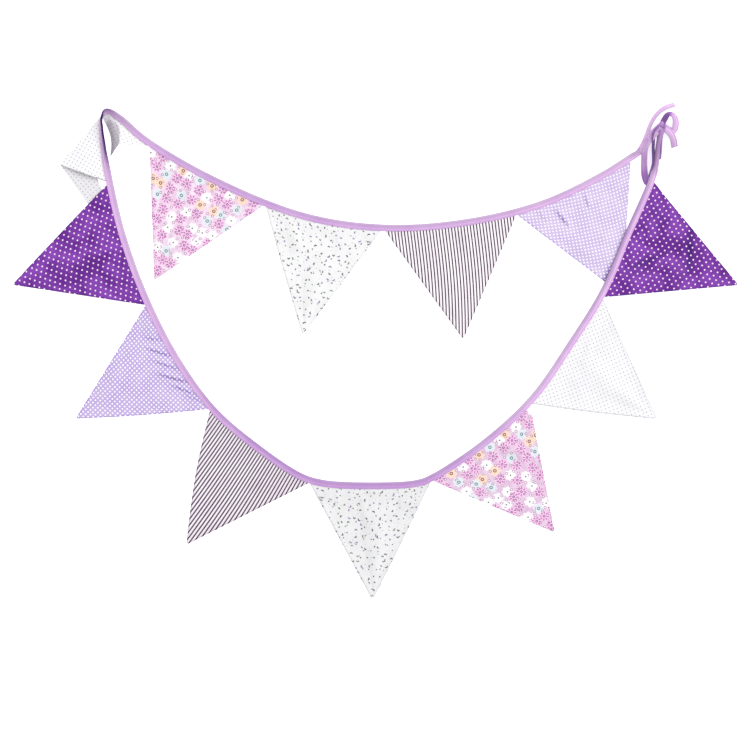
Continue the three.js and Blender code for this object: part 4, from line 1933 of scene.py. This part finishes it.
@dataclass
class Bunting:
    """The whole bunting: the tape and its twelve pennants.

    Attributes:
        tape: The tape.
    """

    tape: BiasTape = field(default_factory=BiasTape)

    def pennants(self) -> list[Pennant]:
        """Sets out the pennants, with the creases that the photograph shows in each.

        Returns:
            The twelve pennants in their order along the tape.
        """
        pulled_first = (
            Crease(32, 24, 105, 42, 2.4, 2.8, 0.3),
            Crease(-11, 15, 90, 34, 2.4, 2.0, 0.3),
            Crease(58, 9, 95, 20, 2, 1.4, 0.25),
            Crease(20, 80, 120, 90, 14, 1.0),
        )
        pulled_lilac = (
            Crease(-40, 6, 128, 44, 1.8, 1.6, 0.5),
            Crease(-20, 9, 138, 64, 2.0, 2.4, 0.42),
            Crease(2, 9, 140, 60, 2.0, 2.0, 0.4),
            Crease(24, 10, 138, 70, 2.2, 2.6, 0.42),
            Crease(46, 8, 146, 56, 2.0, 2.2, 0.4),
            Crease(64, 4, 150, 36, 1.8, 1.6, 0.4),
            Crease(-20, 90, 70, 90, 14, 2.0),
        )
        soft_left = (
            Crease(-5, 60, 100, 120, 14, 2.2),
            Crease(30, 45, 70, 90, 10, 1.8),
            Crease(-40, 20, 80, 40, 6, 1.6),
        )
        soft_right = (
            Crease(27, 16, 90, 38, 3.6, 3.2),
            Crease(12, 80, 159, 100, 9, 4.2, 0.2),
            Crease(-25, 40, 45, 90, 8, 3.4, 0.18),
            Crease(44, 38, 75, 56, 7, 2.6),
        )
        pin_right = (Crease(20, 22, 156, 80, 9, 1.5), Crease(-30, 40, 120, 60, 10, 1.2))
        sprig_top = (Crease(-30, 20, 80, 45, 7, 1.1), Crease(34, 30, 110, 60, 9, 1.2))
        sprig_low = (
            Crease(-48, 14, 95, 28, 3, 1.8),
            Crease(-8, 30, 85, 70, 8, 2.4),
            Crease(46, 16, 100, 34, 4, 2.0),
        )
        flower_top = (Crease(-50, 16, 80, 34, 5, 1.8), Crease(10, 24, 100, 60, 8, 2.2))
        flower_low = (Crease(-36, 14, 95, 32, 4, 1.8), Crease(28, 26, 70, 66, 8, 2.6))
        stripe_top = (Crease(-20, 22, 95, 50, 8, 1.6),)
        stripe_low = (Crease(-22, 16, 90, 36, 5, 1.8), Crease(24, 30, 80, 60, 8, 2.2))
        return [
            FirstPennant(1, Cloth.LILAC, 22, 205, (362, 84), 0, 0, 1.0, 0.35, pulled_first, tone=0.2),
            Pennant(2, Cloth.STRIPED, 208, 400, (129, 18), 0, 0, 1.4, 0.6, stripe_top, 3.0),
            Pennant(3, Cloth.SPRIG, 408, 579, (-107, 24), 0, 1, 3.2, 0.45, sprig_top),
            Pennant(4, Cloth.FLORAL, 585, 771, (-325, 105), 0, 0, 2.4, 0.3, flower_top),
            FoldedPennant(5, Cloth.PIN_DOT, 775, 960, (-399, 180), 0, 0, 0, 0.5),
            Pennant(6, Cloth.PURPLE, 967, 1150, (-533, 97), 1, 0, 2.0, 0.65, soft_left),
            Pennant(7, Cloth.LILAC, 1153, 1329, (-440, -100), 0, 2, 2.2, 0.3, pulled_lilac, tone=0.5),
            Pennant(8, Cloth.STRIPED, 1334, 1511, (-277, -285), 5, 0, 1.5, 0.55, stripe_low, -4.0, 0.3),
            Pennant(9, Cloth.SPRIG, 1515, 1689, (-4, -365), 0, 1, 2.8, 0.6, sprig_low, tone=0.22, blunt=4.6),
            Pennant(10, Cloth.FLORAL, 1695, 1874, (263, -267), 0, 0, 1.8, 0.4, flower_low, tone=0.35),
            Pennant(11, Cloth.PIN_DOT, 1879, 2063, (414, -100), 2, 0, 2.6, 0.5, pin_right),
            Pennant(12, Cloth.PURPLE, 2068, 2250, (533, 97), 0, 0, 2.0, 0.4, soft_right),
        ]

    def build(self) -> None:
        """Builds the tape and then each pennant over what lies under it."""
        self.tape.build()
        row = self.pennants()
        under = {6: row[4].outline(), 12: row[0].outline(self.tape)}
        for pennant in row:
            pennant.build(self.tape, under.get(pennant.number))


@dataclass
class Studio:
    """White floor lit from below too, soft light and the camera straight above.

    Attributes:
        centre: The place that the camera stands over, in metres.
        view_width: Width of the floor that it sees, in metres.
        lens: Its focal length in millimetres.
        sensor: Width of its sensor in millimetres.
        floor_size: Width of the floor in metres.
        floor_drop: How far the floor lies under the cloth, in metres.
        glow: Strength of the floor's own light.
        air: Strength of the light from all round.
        sun: Strength of the lamp.
        sun_spread: Angle that the lamp fills in degrees, wide for soft shadows.
        sun_height: Its height over the floor in degrees.
        sun_from: Where it comes from, in degrees from +X towards +Y.
    """

    centre: tuple[float, float] = (-0.0007, -0.0369)
    view_width: float = 1.10625
    lens: float = 85.0
    sensor: float = 36.0
    floor_size: float = 12.0
    floor_drop: float = 0.0002
    glow: float = 0.6
    air: float = 0.72
    sun: float = 1.75
    sun_spread: float = 45.0
    sun_height: float = 40.0
    sun_from: float = 40.0

    def build(self) -> None:
        """Makes the floor, the lights and the camera."""
        bpy.ops.object.select_all(action="DESELECT")
        bpy.ops.mesh.primitive_plane_add(size=self.floor_size, location=(0, 0, -self.floor_drop))
        floor = bpy.context.object
        floor.name = "studio_floor"
        floor.data.materials.append(self.acrylic())
        world = bpy.data.worlds.new("studio_air")
        world.use_nodes = True
        air = world.node_tree.nodes["Background"].inputs
        air["Color"].default_value = (1.0, 1.0, 1.0, 1.0)
        air["Strength"].default_value = self.air
        bpy.context.scene.world = world
        bpy.context.scene.view_settings.view_transform = "Standard"
        self.lamp()
        self.camera()

    def acrylic(self) -> bpy.types.Material:
        """White acrylic lit a little from below, so that cloth on it has hardly a shadow.

        Returns:
            The material.
        """
        made = bpy.data.materials.new("backlit_acrylic")
        made.use_nodes = True
        inputs = made.node_tree.nodes["Principled BSDF"].inputs
        inputs["Base Color"].default_value = linear("fdfdfe")
        inputs["Roughness"].default_value = 0.95
        inputs["Emission Color"].default_value = (1.0, 1.0, 1.0, 1.0)
        inputs["Emission Strength"].default_value = self.glow
        return made

    def lamp(self) -> None:
        """Hangs the lamp, soft and even, from far off."""
        light = bpy.data.lights.new("key", "SUN")
        light.energy = self.sun
        light.angle = math.radians(self.sun_spread)
        made = bpy.data.objects.new("key", light)
        bpy.context.scene.collection.objects.link(made)
        made.rotation_euler = (math.radians(90 - self.sun_height), 0.0, math.radians(self.sun_from + 90))

    def camera(self) -> None:
        """Camera straight above, framed as the photograph."""
        data = bpy.data.cameras.new("camera")
        data.lens = self.lens
        data.sensor_width = self.sensor
        made = bpy.data.objects.new("camera", data)
        bpy.context.scene.collection.objects.link(made)
        made.location = (*self.centre, self.view_width * self.lens / self.sensor)
        bpy.context.scene.camera = made


def main() -> None:
    """Dresses the frame."""
    logging.basicConfig(level=logging.INFO, format="%(name)s: %(message)s")
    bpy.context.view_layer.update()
    Bunting().build()
    Studio().build()


if __name__ == "__main__":
    main()
